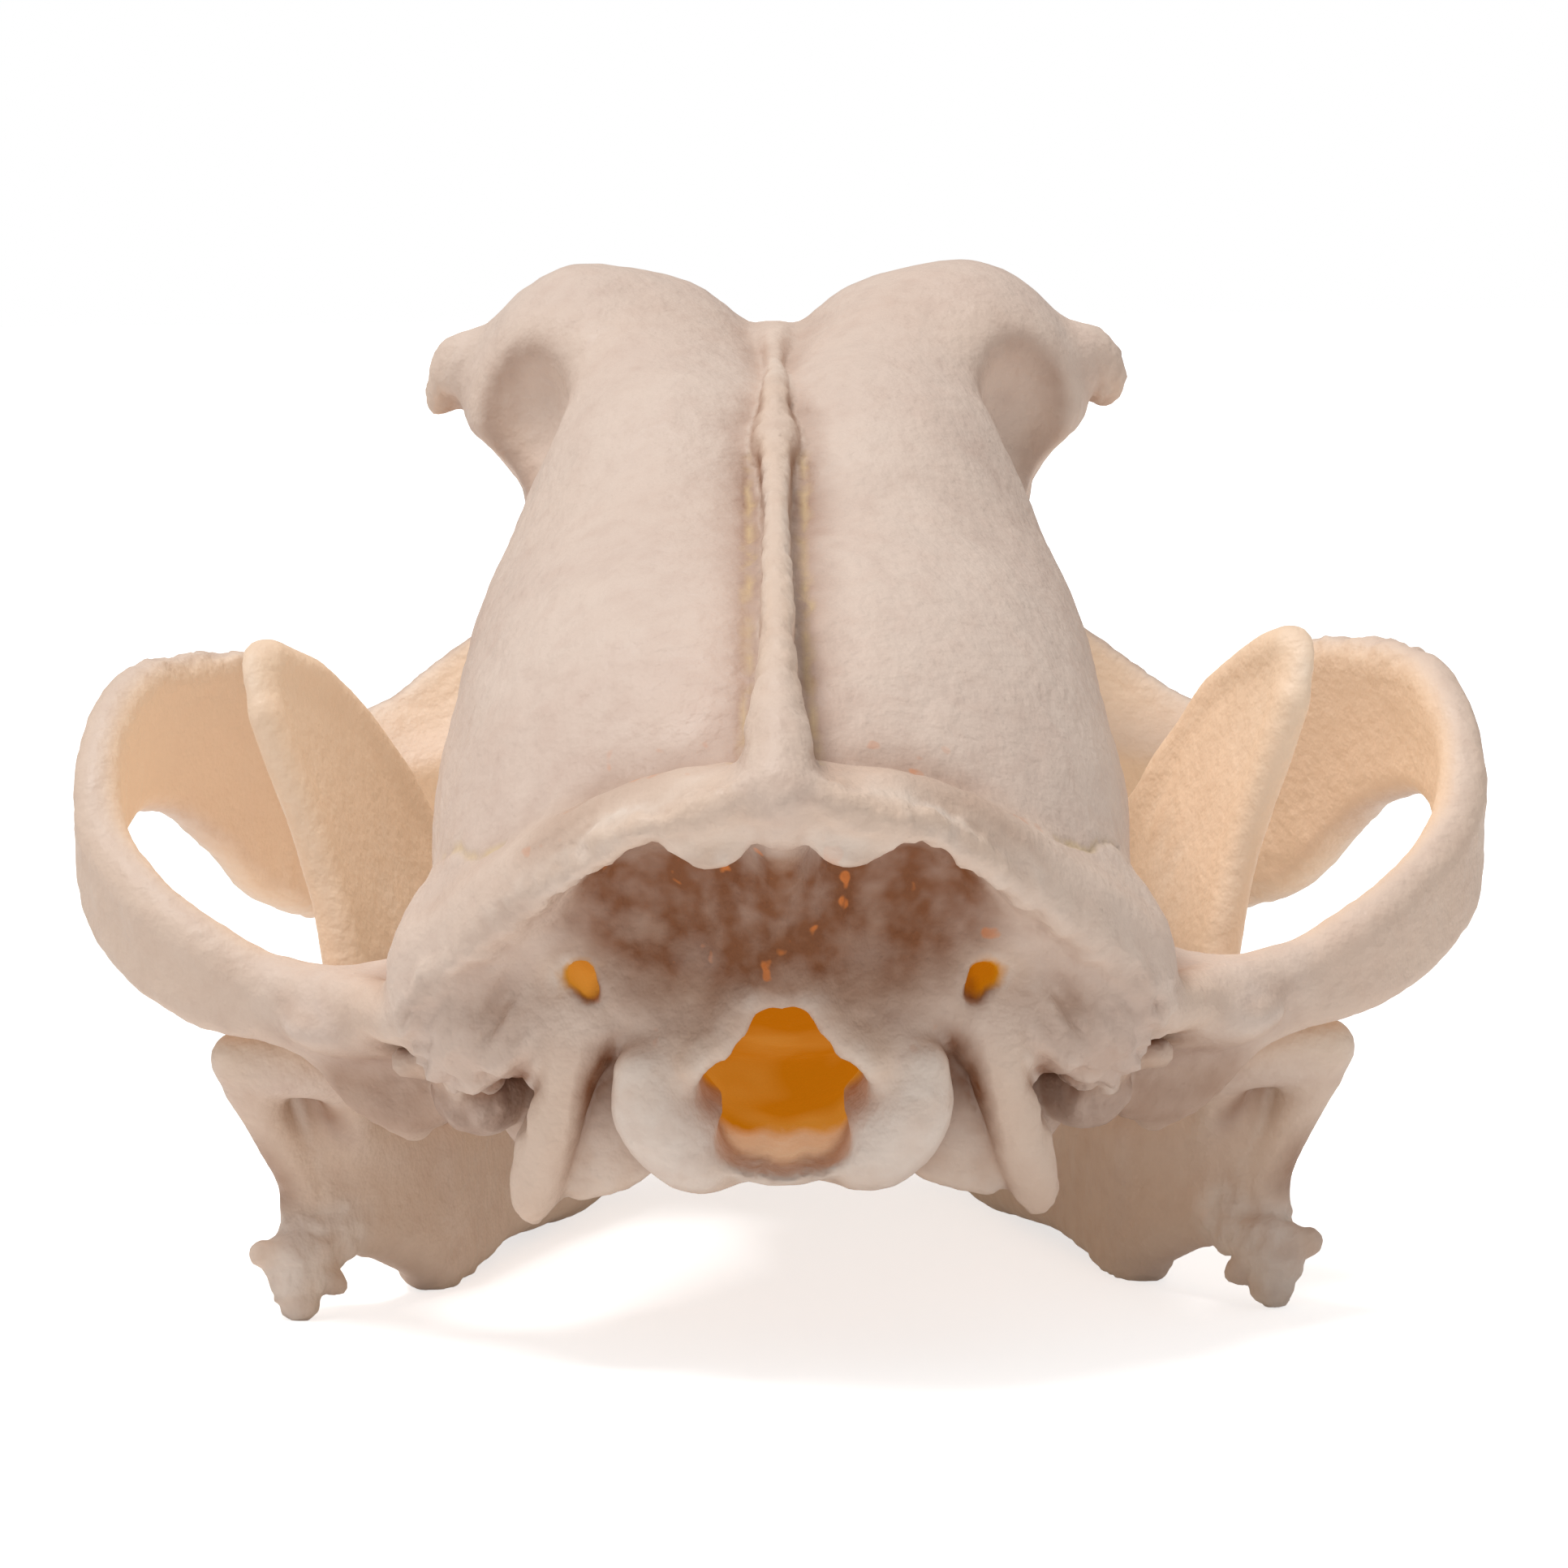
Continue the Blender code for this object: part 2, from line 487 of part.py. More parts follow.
def make_cranium():
    clay = Clay((0, -18, -28), (72, 150, 68), GRAIN)
    add_braincase(clay)
    add_occiput(clay)
    add_sagittal_crest(clay)
    add_forehead(clay)
    add_skull_base(clay)
    add_snout(clay)
    add_cheek_arch(clay)
    carve_cranium(clay)
    for row in UPPER_TEETH:
        clay.add(tooth(*row), 0.8)
    seat_jaw_joint(clay)
    cranium = clay.surface("cranium")
    thinned(cranium, CRANIUM_TRIANGLES)
    return cranium


def make_jaw():
    clay = Clay((0, 14, -46), (60, 166, 42), GRAIN)
    add_jaw_plate(clay)
    add_jaw_body(clay)
    carve_jaw(clay)
    for row in LOWER_TEETH:
        clay.add(tooth(*row, down=False), 0.8)
    jaw = clay.surface("jaw")
    thinned(jaw, JAW_TRIANGLES)
    return jaw


def split_cranium(cranium, cutters):
    """Part the cranium at its main seams, with the joint gap between the pieces."""
    gap = JOINT_GAP / 2
    within = block("within_arches", (gap - ARCH_INNER, -WIDE, -WIDE), (ARCH_INNER - gap, WIDE, WIDE), cutters)
    rear = block("rear", (-WIDE, -WIDE, -WIDE), (WIDE, BRAINCASE_FRONT - gap, WIDE), cutters)
    front = block("front", (-WIDE, BRAINCASE_FRONT + gap, -WIDE), (WIDE, WIDE, WIDE), cutters)
    upper = block("upper", (-WIDE, -WIDE, gap), (WIDE, WIDE, WIDE), cutters)
    lower = block("lower", (-WIDE, -WIDE, -WIDE), (WIDE, WIDE, -gap), cutters)
    seam = Matrix.Translation(FACE_SEAM_POINT) @ Matrix.Rotation(math.radians(FACE_SEAM_DEG), 4, "X")
    upper.data.transform(seam)
    lower.data.transform(seam)
    above = block("above", (-WIDE, -WIDE, ROOF_SEAM_HEIGHT + gap), (WIDE, WIDE, WIDE), cutters)
    below = block("below", (-WIDE, -WIDE, -WIDE), (WIDE, WIDE, ROOF_SEAM_HEIGHT - gap), cutters)
    left = block("left", (-WIDE, -WIDE, -WIDE), (-ARCH_INNER - gap, WIDE, WIDE), cutters)
    right = block("right", (ARCH_INNER + gap, -WIDE, -WIDE), (WIDE, WIDE, WIDE), cutters)
    return [
        share(cranium, "braincase_roof", within, rear, above),
        share(cranium, "braincase_base", within, rear, below),
        share(cranium, "forehead", within, front, upper),
        share(cranium, "snout", within, front, lower),
        share(cranium, "cheek_arch_left", left),
        share(cranium, "cheek_arch_right", right),
    ]


def split_jaw(jaw, cutters):
    """Part the lower jaw at the chin, into its two bones."""
    left = block("jaw_left_side", (-WIDE, -WIDE, -WIDE), (-JOINT_GAP / 2, WIDE, WIDE), cutters)
    right = block("jaw_right_side", (JOINT_GAP / 2, -WIDE, -WIDE), (WIDE, WIDE, WIDE), cutters)
    return [share(jaw, "jaw_left", left), share(jaw, "jaw_right", right)]


def to_rest(nodes):
    """Tip the bones nose up, stand them on the floor at z = 0 and centre them over the origin."""
    tip = Matrix.Translation((0, 0, -FLOOR_LEVEL)) @ Matrix.Rotation(math.radians(NOSE_UP_DEG), 4, "X")
    for node in nodes:
        node.data.transform(tip)
    depths = [corner.co.y for node in nodes for corner in node.data.vertices]
    centre = Matrix.Translation((0, -(min(depths) + max(depths)) / 2, 0))
    for node in nodes:
        node.data.transform(centre)


def main():
    for leftover in list(bpy.data.objects):
        bpy.data.objects.remove(leftover)
    parts = bpy.data.collections.new("dog_skull")
    cutters = bpy.data.collections.new("cutters")
    bpy.context.scene.collection.children.link(parts)
    bpy.context.scene.collection.children.link(cutters)

    cranium = make_cranium()
    jaw = make_jaw()
    nodes = split_cranium(cranium, cutters) + split_jaw(jaw, cutters)
    bpy.data.objects.remove(cranium)
    bpy.data.objects.remove(jaw)
    to_rest(nodes)
    floor = block("floor", (-WIDE, -WIDE, -WIDE), (WIDE, WIDE, 0), cutters)

    for node in nodes:
        if node.name.startswith("jaw"):
            modified(node, "BOOLEAN", operation="DIFFERENCE", object=floor)
            keep_largest(node)
        node.data.transform(Matrix.Scale(0.001, 4))
        node.data.shade_smooth()
        colour = (0.78, 0.66, 0.52) if node.name.startswith("jaw") else (0.84, 0.76, 0.67)
        node.data.materials.clear()
        node.data.materials.append(bone_material(node.name + "_bone", colour, 0.6))
        bpy.context.scene.collection.objects.unlink(node)
        parts.objects.link(node)
    for cutter in cutters.objects:
        cutter.data.transform(Matrix.Scale(0.001, 4))


if __name__ == "__main__":
    main()
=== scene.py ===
"""Skull of a short-faced dog with its lower jaw in place, dressed for a museum shelf.

Shapes are given in millimetres in the skull's own axes: x to the skull's right, y forward along
the palate, z up, with the origin under the occipital condyles. Finished bones are tipped nose up
to their resting pose and scaled to metres.
"""

import math
from itertools import product

import bpy
import numpy as np
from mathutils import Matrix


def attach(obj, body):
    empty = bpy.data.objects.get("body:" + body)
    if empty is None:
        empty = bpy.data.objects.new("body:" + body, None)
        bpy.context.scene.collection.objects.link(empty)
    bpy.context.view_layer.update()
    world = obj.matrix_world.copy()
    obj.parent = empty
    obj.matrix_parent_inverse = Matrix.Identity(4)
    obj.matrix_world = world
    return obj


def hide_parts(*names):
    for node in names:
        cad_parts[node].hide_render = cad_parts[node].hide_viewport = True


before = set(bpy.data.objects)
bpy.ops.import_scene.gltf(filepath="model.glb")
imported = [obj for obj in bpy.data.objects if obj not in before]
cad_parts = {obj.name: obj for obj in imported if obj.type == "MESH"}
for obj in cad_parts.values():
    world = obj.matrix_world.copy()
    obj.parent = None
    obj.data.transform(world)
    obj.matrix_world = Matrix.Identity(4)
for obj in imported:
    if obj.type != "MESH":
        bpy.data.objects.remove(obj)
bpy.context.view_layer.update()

import openvdb
from bpy.props import FloatProperty, FloatVectorProperty, IntProperty, PointerProperty
from bpy.types import Operator, Panel, PropertyGroup
from mathutils import Matrix

bl_info = {
    "name": "Dog Skull",
    "version": (1, 0, 0),
    "blender": (4, 5, 0),
    "location": "3D View > Sidebar > Dog Skull",
    "description": "Builds the bones, teeth and studio of a life-size dog skull",
    "category": "Add Mesh",
}

EMPTY_SPACE = 30.0
CRANIUM_NODES = ("braincase_roof", "braincase_base", "forehead", "snout", "cheek_arch_left",
                 "cheek_arch_right")


# Settings

class SkullSizes(PropertyGroup):
    """Sizes that a user would change."""

    nose_up: FloatProperty(name="Nose up", description="How far the skull is tipped back on its jaw",
                           default=math.radians(15), subtype="ANGLE")
    floor_level: FloatProperty(name="Floor level", default=-0.0162, unit="LENGTH",
                               description="Where the floor cuts the skull's own height scale")
    centre_shift: FloatProperty(name="Centre shift", default=-0.066745, unit="LENGTH",
                                description="Move along the floor that centres the skull")
    grain: FloatProperty(name="Grain", description="Finest step of the bone surface", default=0.00055,
                         unit="LENGTH", precision=5)
    tooth_grain: FloatProperty(name="Tooth grain", description="Finest step of the teeth", default=0.0004,
                               unit="LENGTH", precision=5)
    cheek_half_width: FloatProperty(name="Cheek half width", description="From the middle to the cheek arch",
                                    default=0.066, unit="LENGTH")
    braincase_half_width: FloatProperty(name="Braincase half width", default=0.0315, unit="LENGTH",
                                        description="From the middle to its wall")
    inion_height: FloatProperty(name="Inion height", default=0.0425, unit="LENGTH",
                                description="Height of the crest at the back of the head")
    forehead_height: FloatProperty(name="Forehead height", description="Height of the two domes",
                                   default=0.061, unit="LENGTH")
    snout_tip: FloatProperty(name="Snout tip", description="Front of the upper jaw", default=0.1425,
                             unit="LENGTH")
    chin_tip: FloatProperty(name="Chin tip", description="Front of the lower jaw", default=0.157,
                            unit="LENGTH")
    upper_gum: FloatProperty(name="Upper gum line", description="Height of the upper gum line",
                             default=-0.012, unit="LENGTH")
    lower_gum: FloatProperty(name="Lower gum line", description="Height of the lower gum line",
                             default=-0.0205, unit="LENGTH")
    roughness: FloatProperty(name="Roughened edges", description="Height of the lumps on crests and edges",
                             default=0.0006, unit="LENGTH", precision=5)
    bone_triangles: IntProperty(name="Cranium triangles", description="Most triangles in the cranium",
                                default=190000)
    jaw_triangles: IntProperty(name="Jaw triangles", default=70000,
                               description="Most triangles in each half of the lower jaw")


class SkullFinish(PropertyGroup):
    """Colours of bone and teeth, with the painted light and shade on the bone."""

    bone: FloatVectorProperty(name="Bone", description="Clean dry bone", subtype="COLOR",
                              default=(0.83, 0.665, 0.56))
    # Pale wear on crests and edges, also used for the painted highlight on the joint faces.
    pale: FloatVectorProperty(name="Pale edges", description="Worn crests and edges", subtype="COLOR",
                              default=(0.95, 0.83, 0.73))
    blush: FloatVectorProperty(name="Blush", description="Pink-brown cast of the denser bone",
                               subtype="COLOR", default=(0.68, 0.49, 0.40))
    # Painted warmth for light through thin bone and light bounced on to the inner walls.
    warm_light: FloatVectorProperty(name="Warm bone", description="Thin bone and inner walls", subtype="COLOR",
                              default=(0.86, 0.60, 0.41))
    # Painted shade, with some dust, that darkens the hollows, the recess under the crest and the face under
    # the ear.
    shade: FloatVectorProperty(name="Hollow shade", description="Dust and stain in the hollows",
                               subtype="COLOR", default=(0.26, 0.095, 0.035))
    spots: FloatVectorProperty(name="Lit spots", subtype="COLOR", default=(0.80, 0.24, 0.05),
                               description="Thin spots of the recess that light comes through")
    seam: FloatVectorProperty(name="Seam", description="Yellowish lines where bones meet", subtype="COLOR",
                              default=(0.80, 0.60, 0.34))
    glow: FloatVectorProperty(name="Glow", description="Light that comes through the thin brain chamber",
                              subtype="COLOR", default=(0.41, 0.155, 0.003))
    glow_pale: FloatVectorProperty(name="Pale glow", description="Cloudy patches in the glow",
                                   subtype="COLOR", default=(0.50, 0.26, 0.045))
    through: FloatVectorProperty(name="Light through", subtype="COLOR", default=(0.46, 0.37, 0.24),
                                 description="Light that comes through thin inner walls")
    glow_strength: FloatProperty(name="Glow strength", description="Strength of the light that comes through",
                                 default=0.62)
    enamel: FloatVectorProperty(name="Enamel", description="Crowns of the teeth", subtype="COLOR",
                                default=(0.84, 0.77, 0.64))
    root: FloatVectorProperty(name="Tooth root", description="Teeth at the gum line", subtype="COLOR",
                              default=(0.62, 0.47, 0.27))


class SkullStudio(PropertyGroup):
    """Floor, lights and camera."""

    floor: FloatVectorProperty(name="Floor", description="Colour of the floor", subtype="COLOR",
                               default=(0.93, 0.93, 0.93))
    floor_lift: FloatProperty(name="Floor lift", default=0.6,
                              description="Glow of the lit floor, which softens the shadow")
    sky: FloatProperty(name="Sky", description="Strength of the even light from all round", default=0.34)
    sun: FloatProperty(name="Overhead light", description="Strength of the soft light from above",
                       default=1.85)
    sun_spread: FloatProperty(name="Overhead spread", description="How wide the overhead light is",
                              default=math.radians(24), subtype="ANGLE")
    sun_back: FloatProperty(name="Overhead back", default=math.radians(8), subtype="ANGLE",
                            description="How far the overhead light leans towards the back of the head")
    sun_side: FloatProperty(name="Overhead side", default=math.radians(-16), subtype="ANGLE",
                            description="How far the overhead light leans to one side")
    lens: FloatProperty(name="Lens", description="Focal length in millimetres", default=126.6)
    camera_place: FloatVectorProperty(name="Camera place", description="Where the camera stands",
                                      subtype="TRANSLATION", default=(0.0004, -0.5418, 0.0937))
    camera_down: FloatProperty(name="Camera down", description="How far the camera looks down",
                               default=math.radians(5), subtype="ANGLE")
    camera_roll: FloatProperty(name="Camera roll", description="Tilt of the picture",
                               default=math.radians(-0.7), subtype="ANGLE")


def millimetres(name):
    """One of the skull's sizes, in millimetres."""
    return 1000 * getattr(bpy.context.scene.skull_sizes, name)


# Forms

def turned(x, y, z, pitch, yaw):
    """Offsets seen along the axes of a form pitched nose up and yawed outwards, in degrees."""
    cp, sp = math.cos(math.radians(pitch)), math.sin(math.radians(pitch))
    cw, sw = math.cos(math.radians(yaw)), math.sin(math.radians(yaw))
    x, y = x * cw - y * sw, x * sw + y * cw
    return x, y * cp + z * sp, z * cp - y * sp


def egg(centre, radii, pitch=0.0, yaw=0.0):
    """An ellipsoid."""
    def distance(x, y, z):
        x, y, z = turned(x - centre[0], y - centre[1], z - centre[2], pitch, yaw)
        reach = np.sqrt((x / radii[0]) ** 2 + (y / radii[1]) ** 2 + (z / radii[2]) ** 2)
        slope = np.sqrt((x / radii[0] ** 2) ** 2 + (y / radii[1] ** 2) ** 2 + (z / radii[2] ** 2) ** 2)
        return reach * (reach - 1) / np.maximum(slope, 1e-6)

    size = max(radii)
    return np.subtract(centre, size), np.add(centre, size), distance


def smooth_rows(rows, steps=5):
    """Rows of numbers read along a smooth curve through the given rows."""
    rows = np.array(rows, float)
    ends = np.vstack([2 * rows[0] - rows[1], rows, 2 * rows[-1] - rows[-2]])
    out = []
    for a, b, c, d in zip(ends, ends[1:], ends[2:], ends[3:]):
        for t in np.arange(steps) / steps:
            bend = 2 * a - 5 * b + 4 * c - d + t * (3 * b - a - 3 * c + d)
            out.append(b + 0.5 * t * (c - a + t * bend))
    out.append(rows[-1])
    return np.array(out)


def limb(*rows):
    """A round limb through rows of x, y, z and radius."""
    rows = smooth_rows(rows)

    def distance(x, y, z):
        nearest = np.float32(EMPTY_SPACE)
        for a, b in zip(rows.astype(np.float32), rows[1:].astype(np.float32)):
            run = b[:3] - a[:3]
            dx, dy, dz = x - a[0], y - a[1], z - a[2]
            along = np.clip((dx * run[0] + dy * run[1] + dz * run[2]) / (run @ run), 0, 1)
            gap = (dx - along * run[0]) ** 2 + (dy - along * run[1]) ** 2 + (dz - along * run[2]) ** 2
            nearest = np.minimum(nearest, np.sqrt(gap) - (a[3] + along * (b[3] - a[3])))
        return nearest

    return (rows[:, :3] - rows[:, 3:4]).min(0), (rows[:, :3] + rows[:, 3:4]).max(0), distance


def strap(*rows, up=(0, 0, 1)):
    """A flat band through rows of x, y, z, half its height along up and half its thickness."""
    rows = smooth_rows(rows)

    def distance(x, y, z):
        nearest = np.float32(EMPTY_SPACE)
        for a, b in zip(rows, rows[1:]):
            run = b[:3] - a[:3]
            rise = np.array(up, float) - run * (np.dot(up, run) / (run @ run))
            rise = (rise / np.linalg.norm(rise)).astype(np.float32)
            a, b, run = a.astype(np.float32), b.astype(np.float32), run.astype(np.float32)
            dx, dy, dz = x - a[0], y - a[1], z - a[2]
            along = np.clip((dx * run[0] + dy * run[1] + dz * run[2]) / (run @ run), 0, 1)
            dx, dy, dz = dx - along * run[0], dy - along * run[1], dz - along * run[2]
            thick = a[4] + along * (b[4] - a[4])
            flat = a[3] + along * (b[3] - a[3]) - thick
            slide = np.clip(dx * rise[0] + dy * rise[1] + dz * rise[2], -flat, flat)
            gap = (dx - slide * rise[0]) ** 2 + (dy - slide * rise[1]) ** 2 + (dz - slide * rise[2]) ** 2
            nearest = np.minimum(nearest, np.sqrt(gap) - thick)
        return nearest

    return (rows[:, :3] - rows[:, 3:4]).min(0), (rows[:, :3] + rows[:, 3:4]).max(0), distance


def edge_distance(outline, y, z):
    """Distance in the side view from a closed outline, negative inside it."""
    nearest = np.full(np.broadcast_shapes(y.shape, z.shape), EMPTY_SPACE ** 2)
    inside = np.zeros(nearest.shape, bool)
    for a, b in zip(outline, np.roll(outline, -1, axis=0)):
        run = b - a
        along = np.clip(((y - a[0]) * run[0] + (z - a[1]) * run[1]) / (run @ run), 0, 1)
        gap = (y - a[0] - along * run[0]) ** 2 + (z - a[1] - along * run[1]) ** 2
        nearest = np.minimum(nearest, gap)
        if a[1] != b[1]:
            crossed = (a[1] > z) != (b[1] > z)
            inside ^= crossed & (y < a[0] + (z - a[1]) * run[0] / run[1])
    return np.where(inside, -1, 1) * np.sqrt(nearest)


def blade(outline, middle, half, span=(0, 70)):
    """A plate with the given outline in the side view. Its mid surface is at x = middle(y, z)."""
    outline = smooth_rows(outline + outline[:1])[:-1]

    def distance(x, y, z):
        thick = half(y, z)
        edge = np.maximum(edge_distance(outline, y, z) + thick, 0)
        return np.sqrt(edge ** 2 + (x - middle(y, z)) ** 2) - thick

    low = (span[0], outline[:, 0].min(), outline[:, 1].min())
    high = (span[1], outline[:, 0].max(), outline[:, 1].max())
    return low, high, distance


# Blending

class Clay:
    """A block of space. Each grain holds its distance from the bone's surface."""

    def __init__(self, low, high, grain):
        self.grain = grain
        self.axes = [np.arange(a, b + grain, grain, dtype=np.float32) for a, b in zip(low, high)]
        self.values = np.full([len(axis) for axis in self.axes], EMPTY_SPACE, np.float32)

    def part(self, low, high, margin):
        """The grains of a box, as slices and as the coordinates of its grains."""
        spans = []
        for axis, a, b in zip(self.axes, low, high):
            start, stop = np.searchsorted(axis, (a - margin, b + margin))
            spans.append(slice(int(start), int(stop)))
        x, y, z = (axis[span] for axis, span in zip(self.axes, spans))
        return tuple(spans), x[:, None, None], y[None, :, None], z[None, None, :]

    def add(self, form, blend=0.0, sign=1):
        """Join a form, filling the corner between it and the rest over the width of blend."""
        low, high, distance = form
        spans, x, y, z = self.part(low, high, blend + 2)
        old = self.values[spans] * sign
        new = np.asarray(distance(x, y, z), np.float32)
        if blend:
            overlap = np.maximum(blend - np.abs(old - new), 0) / blend
            self.values[spans] = sign * (np.minimum(old, new) - overlap ** 3 * blend / 6)
        else:
            self.values[spans] = sign * np.minimum(old, new)

    def cut(self, form, blend=0.0):
        """Take a form away, rounding the rim over the width of blend."""
        self.add(form, blend, sign=-1)

    def mirrored(self):
        """The same shape on both sides of the middle."""
        whole = Clay((0, 0, 0), (0, 0, 0), self.grain)
        whole.axes = [np.concatenate([-self.axes[0][:0:-1], self.axes[0]]), *self.axes[1:]]
        whole.values = np.concatenate([self.values[:0:-1], self.values])
        return whole

    def depth_at(self, points):
        """The distance held at each point, blended from the eight grains round it."""
        spots = (points - [axis[0] for axis in self.axes]) / self.grain
        spots = np.clip(spots, 0, np.array(self.values.shape) - 1.001)
        base = spots.astype(int)
        part = spots - base
        total = np.zeros(len(points))
        for corner in product((0, 1), repeat=3):
            weight = np.prod(np.where(corner, part, 1 - part), axis=1)
            total += weight * self.values[tuple((base + corner).T)]
        return total

    def outward_at(self, points, reach=0.7):
        """The direction straight out of the bone at each point."""
        steps = np.eye(3) * reach
        slopes = [self.depth_at(points + step) - self.depth_at(points - step) for step in steps]
        slope = np.stack(slopes, axis=1)
        return slope / np.maximum(np.linalg.norm(slope, axis=1, keepdims=True), 1e-6)

    def surface(self):
        """The surface as points in millimetres and faces."""
        band = 3 * self.grain
        grid = openvdb.FloatGrid(band)
        grid.copyFromArray(np.clip(self.values, -band, band))
        points, triangles, quads = grid.convertToPolygons(isovalue=0.0)
        points = points * self.grain + [axis[0] for axis in self.axes]
        return points, triangles.tolist() + quads.tolist()


def lumps(points, size, seed=0):
    """Smooth random lumps of about the given size, from -1 to 1."""
    spots = points / size
    base = np.floor(spots).astype(np.int64)
    part = spots - base
    part = part * part * (3 - 2 * part)
    total = np.zeros(len(points))
    for corner in product((0, 1), repeat=3):
        cell = base + corner
        mixed = cell[:, 0] * 73856093 ^ cell[:, 1] * 19349663 ^ cell[:, 2] * 83492791 ^ (seed + 1) * 50331653
        mixed = (mixed ^ (mixed >> 13)) * 1274126177 & 0x7FFFFFFF
        mixed = (mixed ^ (mixed >> 16)) * 73244475 & 0x7FFFFFFF
        weight = np.prod(np.where(corner, part, 1 - part), axis=1)
        total += weight * (mixed / 0x3FFFFFFF - 1)
    return total


def nearness(points, form, reach):
    """How near each point is to a form, from 1 on it to 0 at the given reach."""
    distance = form[2](*points.T.astype(np.float32))
    return np.clip(1 - np.maximum(distance, 0) / reach, 0, 1)


def both_sides(points):
    """The points with the left half folded on to the right."""
    return points * np.sign(points[:, :1] + 1e-9) * (1, 0, 0) + points * (0, 1, 1)


# Cranium

def add_braincase(clay):
    clay.add(egg((0, 29, 22.5), (millimetres("braincase_half_width"), 34, 24)))
    clay.add(egg((7.5, 47, 31), (21.5, 38, 19)), 9)
    clay.add(egg((8.5, 67, 39), (15, 27, 17.5)), 9)
    clay.add(limb((8.5, 46, 40.5, 8.5), (10.5, 60, 44.5, 9), (12.5, 74, 48, 9.5)), 8)
    clay.add(egg((0, 18, 5), (12, 24, 5.5)), 4)
    clay.add(limb((0, 38, 6, 7), (0, 55, 9, 7), (0, 74, 12, 8)), 6)


def nuchal_edge():
    """The edge of the crest that runs across the back of the head."""
    inion = millimetres("inion_height")
    return limb((0, -10, inion - 1.8, 1.9), (5.4, -9.2, 39.3, 1.5), (8.8, -8.2, 37.9, 1.4),
                (12.6, -6.6, 36.4, 1.4), (16, -4, 33.2, 1.3), (21, 0, 28, 1.2), (26, 3.4, 22.9, 1.2),
                (30.4, 6.6, 18, 1.3), (32.2, 8.8, 14.6, 1.6))


def add_occiput(clay):
    clay.add(limb((0, 9, 30, 10), (14, 11, 26, 9), (26, 15, 17, 8)), 6)
    clay.add(egg((0, 7, 15), (14, 9, 13)), 4)
    clay.add(limb((0, -4.6, 38.8, 3.6), (12, -1, 34.4, 3.2), (23, 5, 24.6, 3), (30, 11, 15.6, 3)), 8)
    clay.add(limb((0, -7.5, 39.8, 2.4), (7, -6.4, 38, 2), (15, -2.6, 33, 2), (25, 3.8, 23.2, 2)), 4)
    clay.cut(egg((10, -7.5, 25.5), (13, 9, 11.5), yaw=-20), 6)
    clay.cut(egg((20.5, -4, 19.5), (8, 5.6, 8), yaw=-38), 5)
    clay.add(limb((9, -4, 38, 1.8), (16, -1, 34.4, 2), (21, 3, 29.4, 2), (26, 6.6, 24.2, 2),
                  (31, 10, 18.4, 2)), 5)
    clay.add(nuchal_edge(), 2)
    clay.add(egg((0, 3, 26), (4.5, 3.6, 10)), 5)
    clay.add(limb((0, -4, 34, 1.4), (0, -1, 28, 0.9), (0, -1.6, 23, 0.9), (0, -2, 20, 1.5)), 4)
    clay.add(strap((3.4, -9, 38, 1.8, 1.1), (5.6, -8.8, 36.4, 2.7, 1.1), (8.6, -7.9, 36.6, 1.8, 1.1)), 2)


def sagittal_edge():
    """The crest along the middle of the head."""
    return strap((0, -8.5, 39.6, 4.5, 2.9), (0, -2, 42.6, 4.5, 2.6), (0, 6, 44.8, 4.3, 1.6),
                 (0, 18, 47.2, 4, 1.2), (0, 35, 49, 4, 1.1), (0, 47, 50.3, 4, 1.4), (0, 52, 51, 4, 2.3),
                 (0, 58, 52.2, 4, 1.4), (0, 66, 52.8, 3.2, 0.9), (0, 76, 53.6, 2.4, 0.8),
                 (0, 85, 53.4, 1.8, 0.7))


def add_sagittal_crest(clay):
    clay.add(sagittal_edge(), 1.8)


def brow_point():
    """The hooked corner of the forehead behind the eye."""
    return limb((22, 85, 48.5, 6.5), (26.5, 86.5, 49.8, 4.8), (30.6, 87.3, 50.6, 3.3),
                (32.3, 87.6, 48.6, 2.3), (33, 87.4, 46.8, 1.3))


def add_forehead(clay):
    top = millimetres("forehead_height")
    clay.add(egg((11.5, 84, top - 16.4), (12, 16, 15)), 6)
    clay.add(egg((18, 84, top - 15.4), (12.6, 15.5, 15.6)), 5)
    clay.add(egg((0, 81, 43.4), (9, 15, 11)), 4)
    clay.add(egg((10, 94, 35), (14, 14, 16)), 7)
    clay.add(brow_point(), 3)


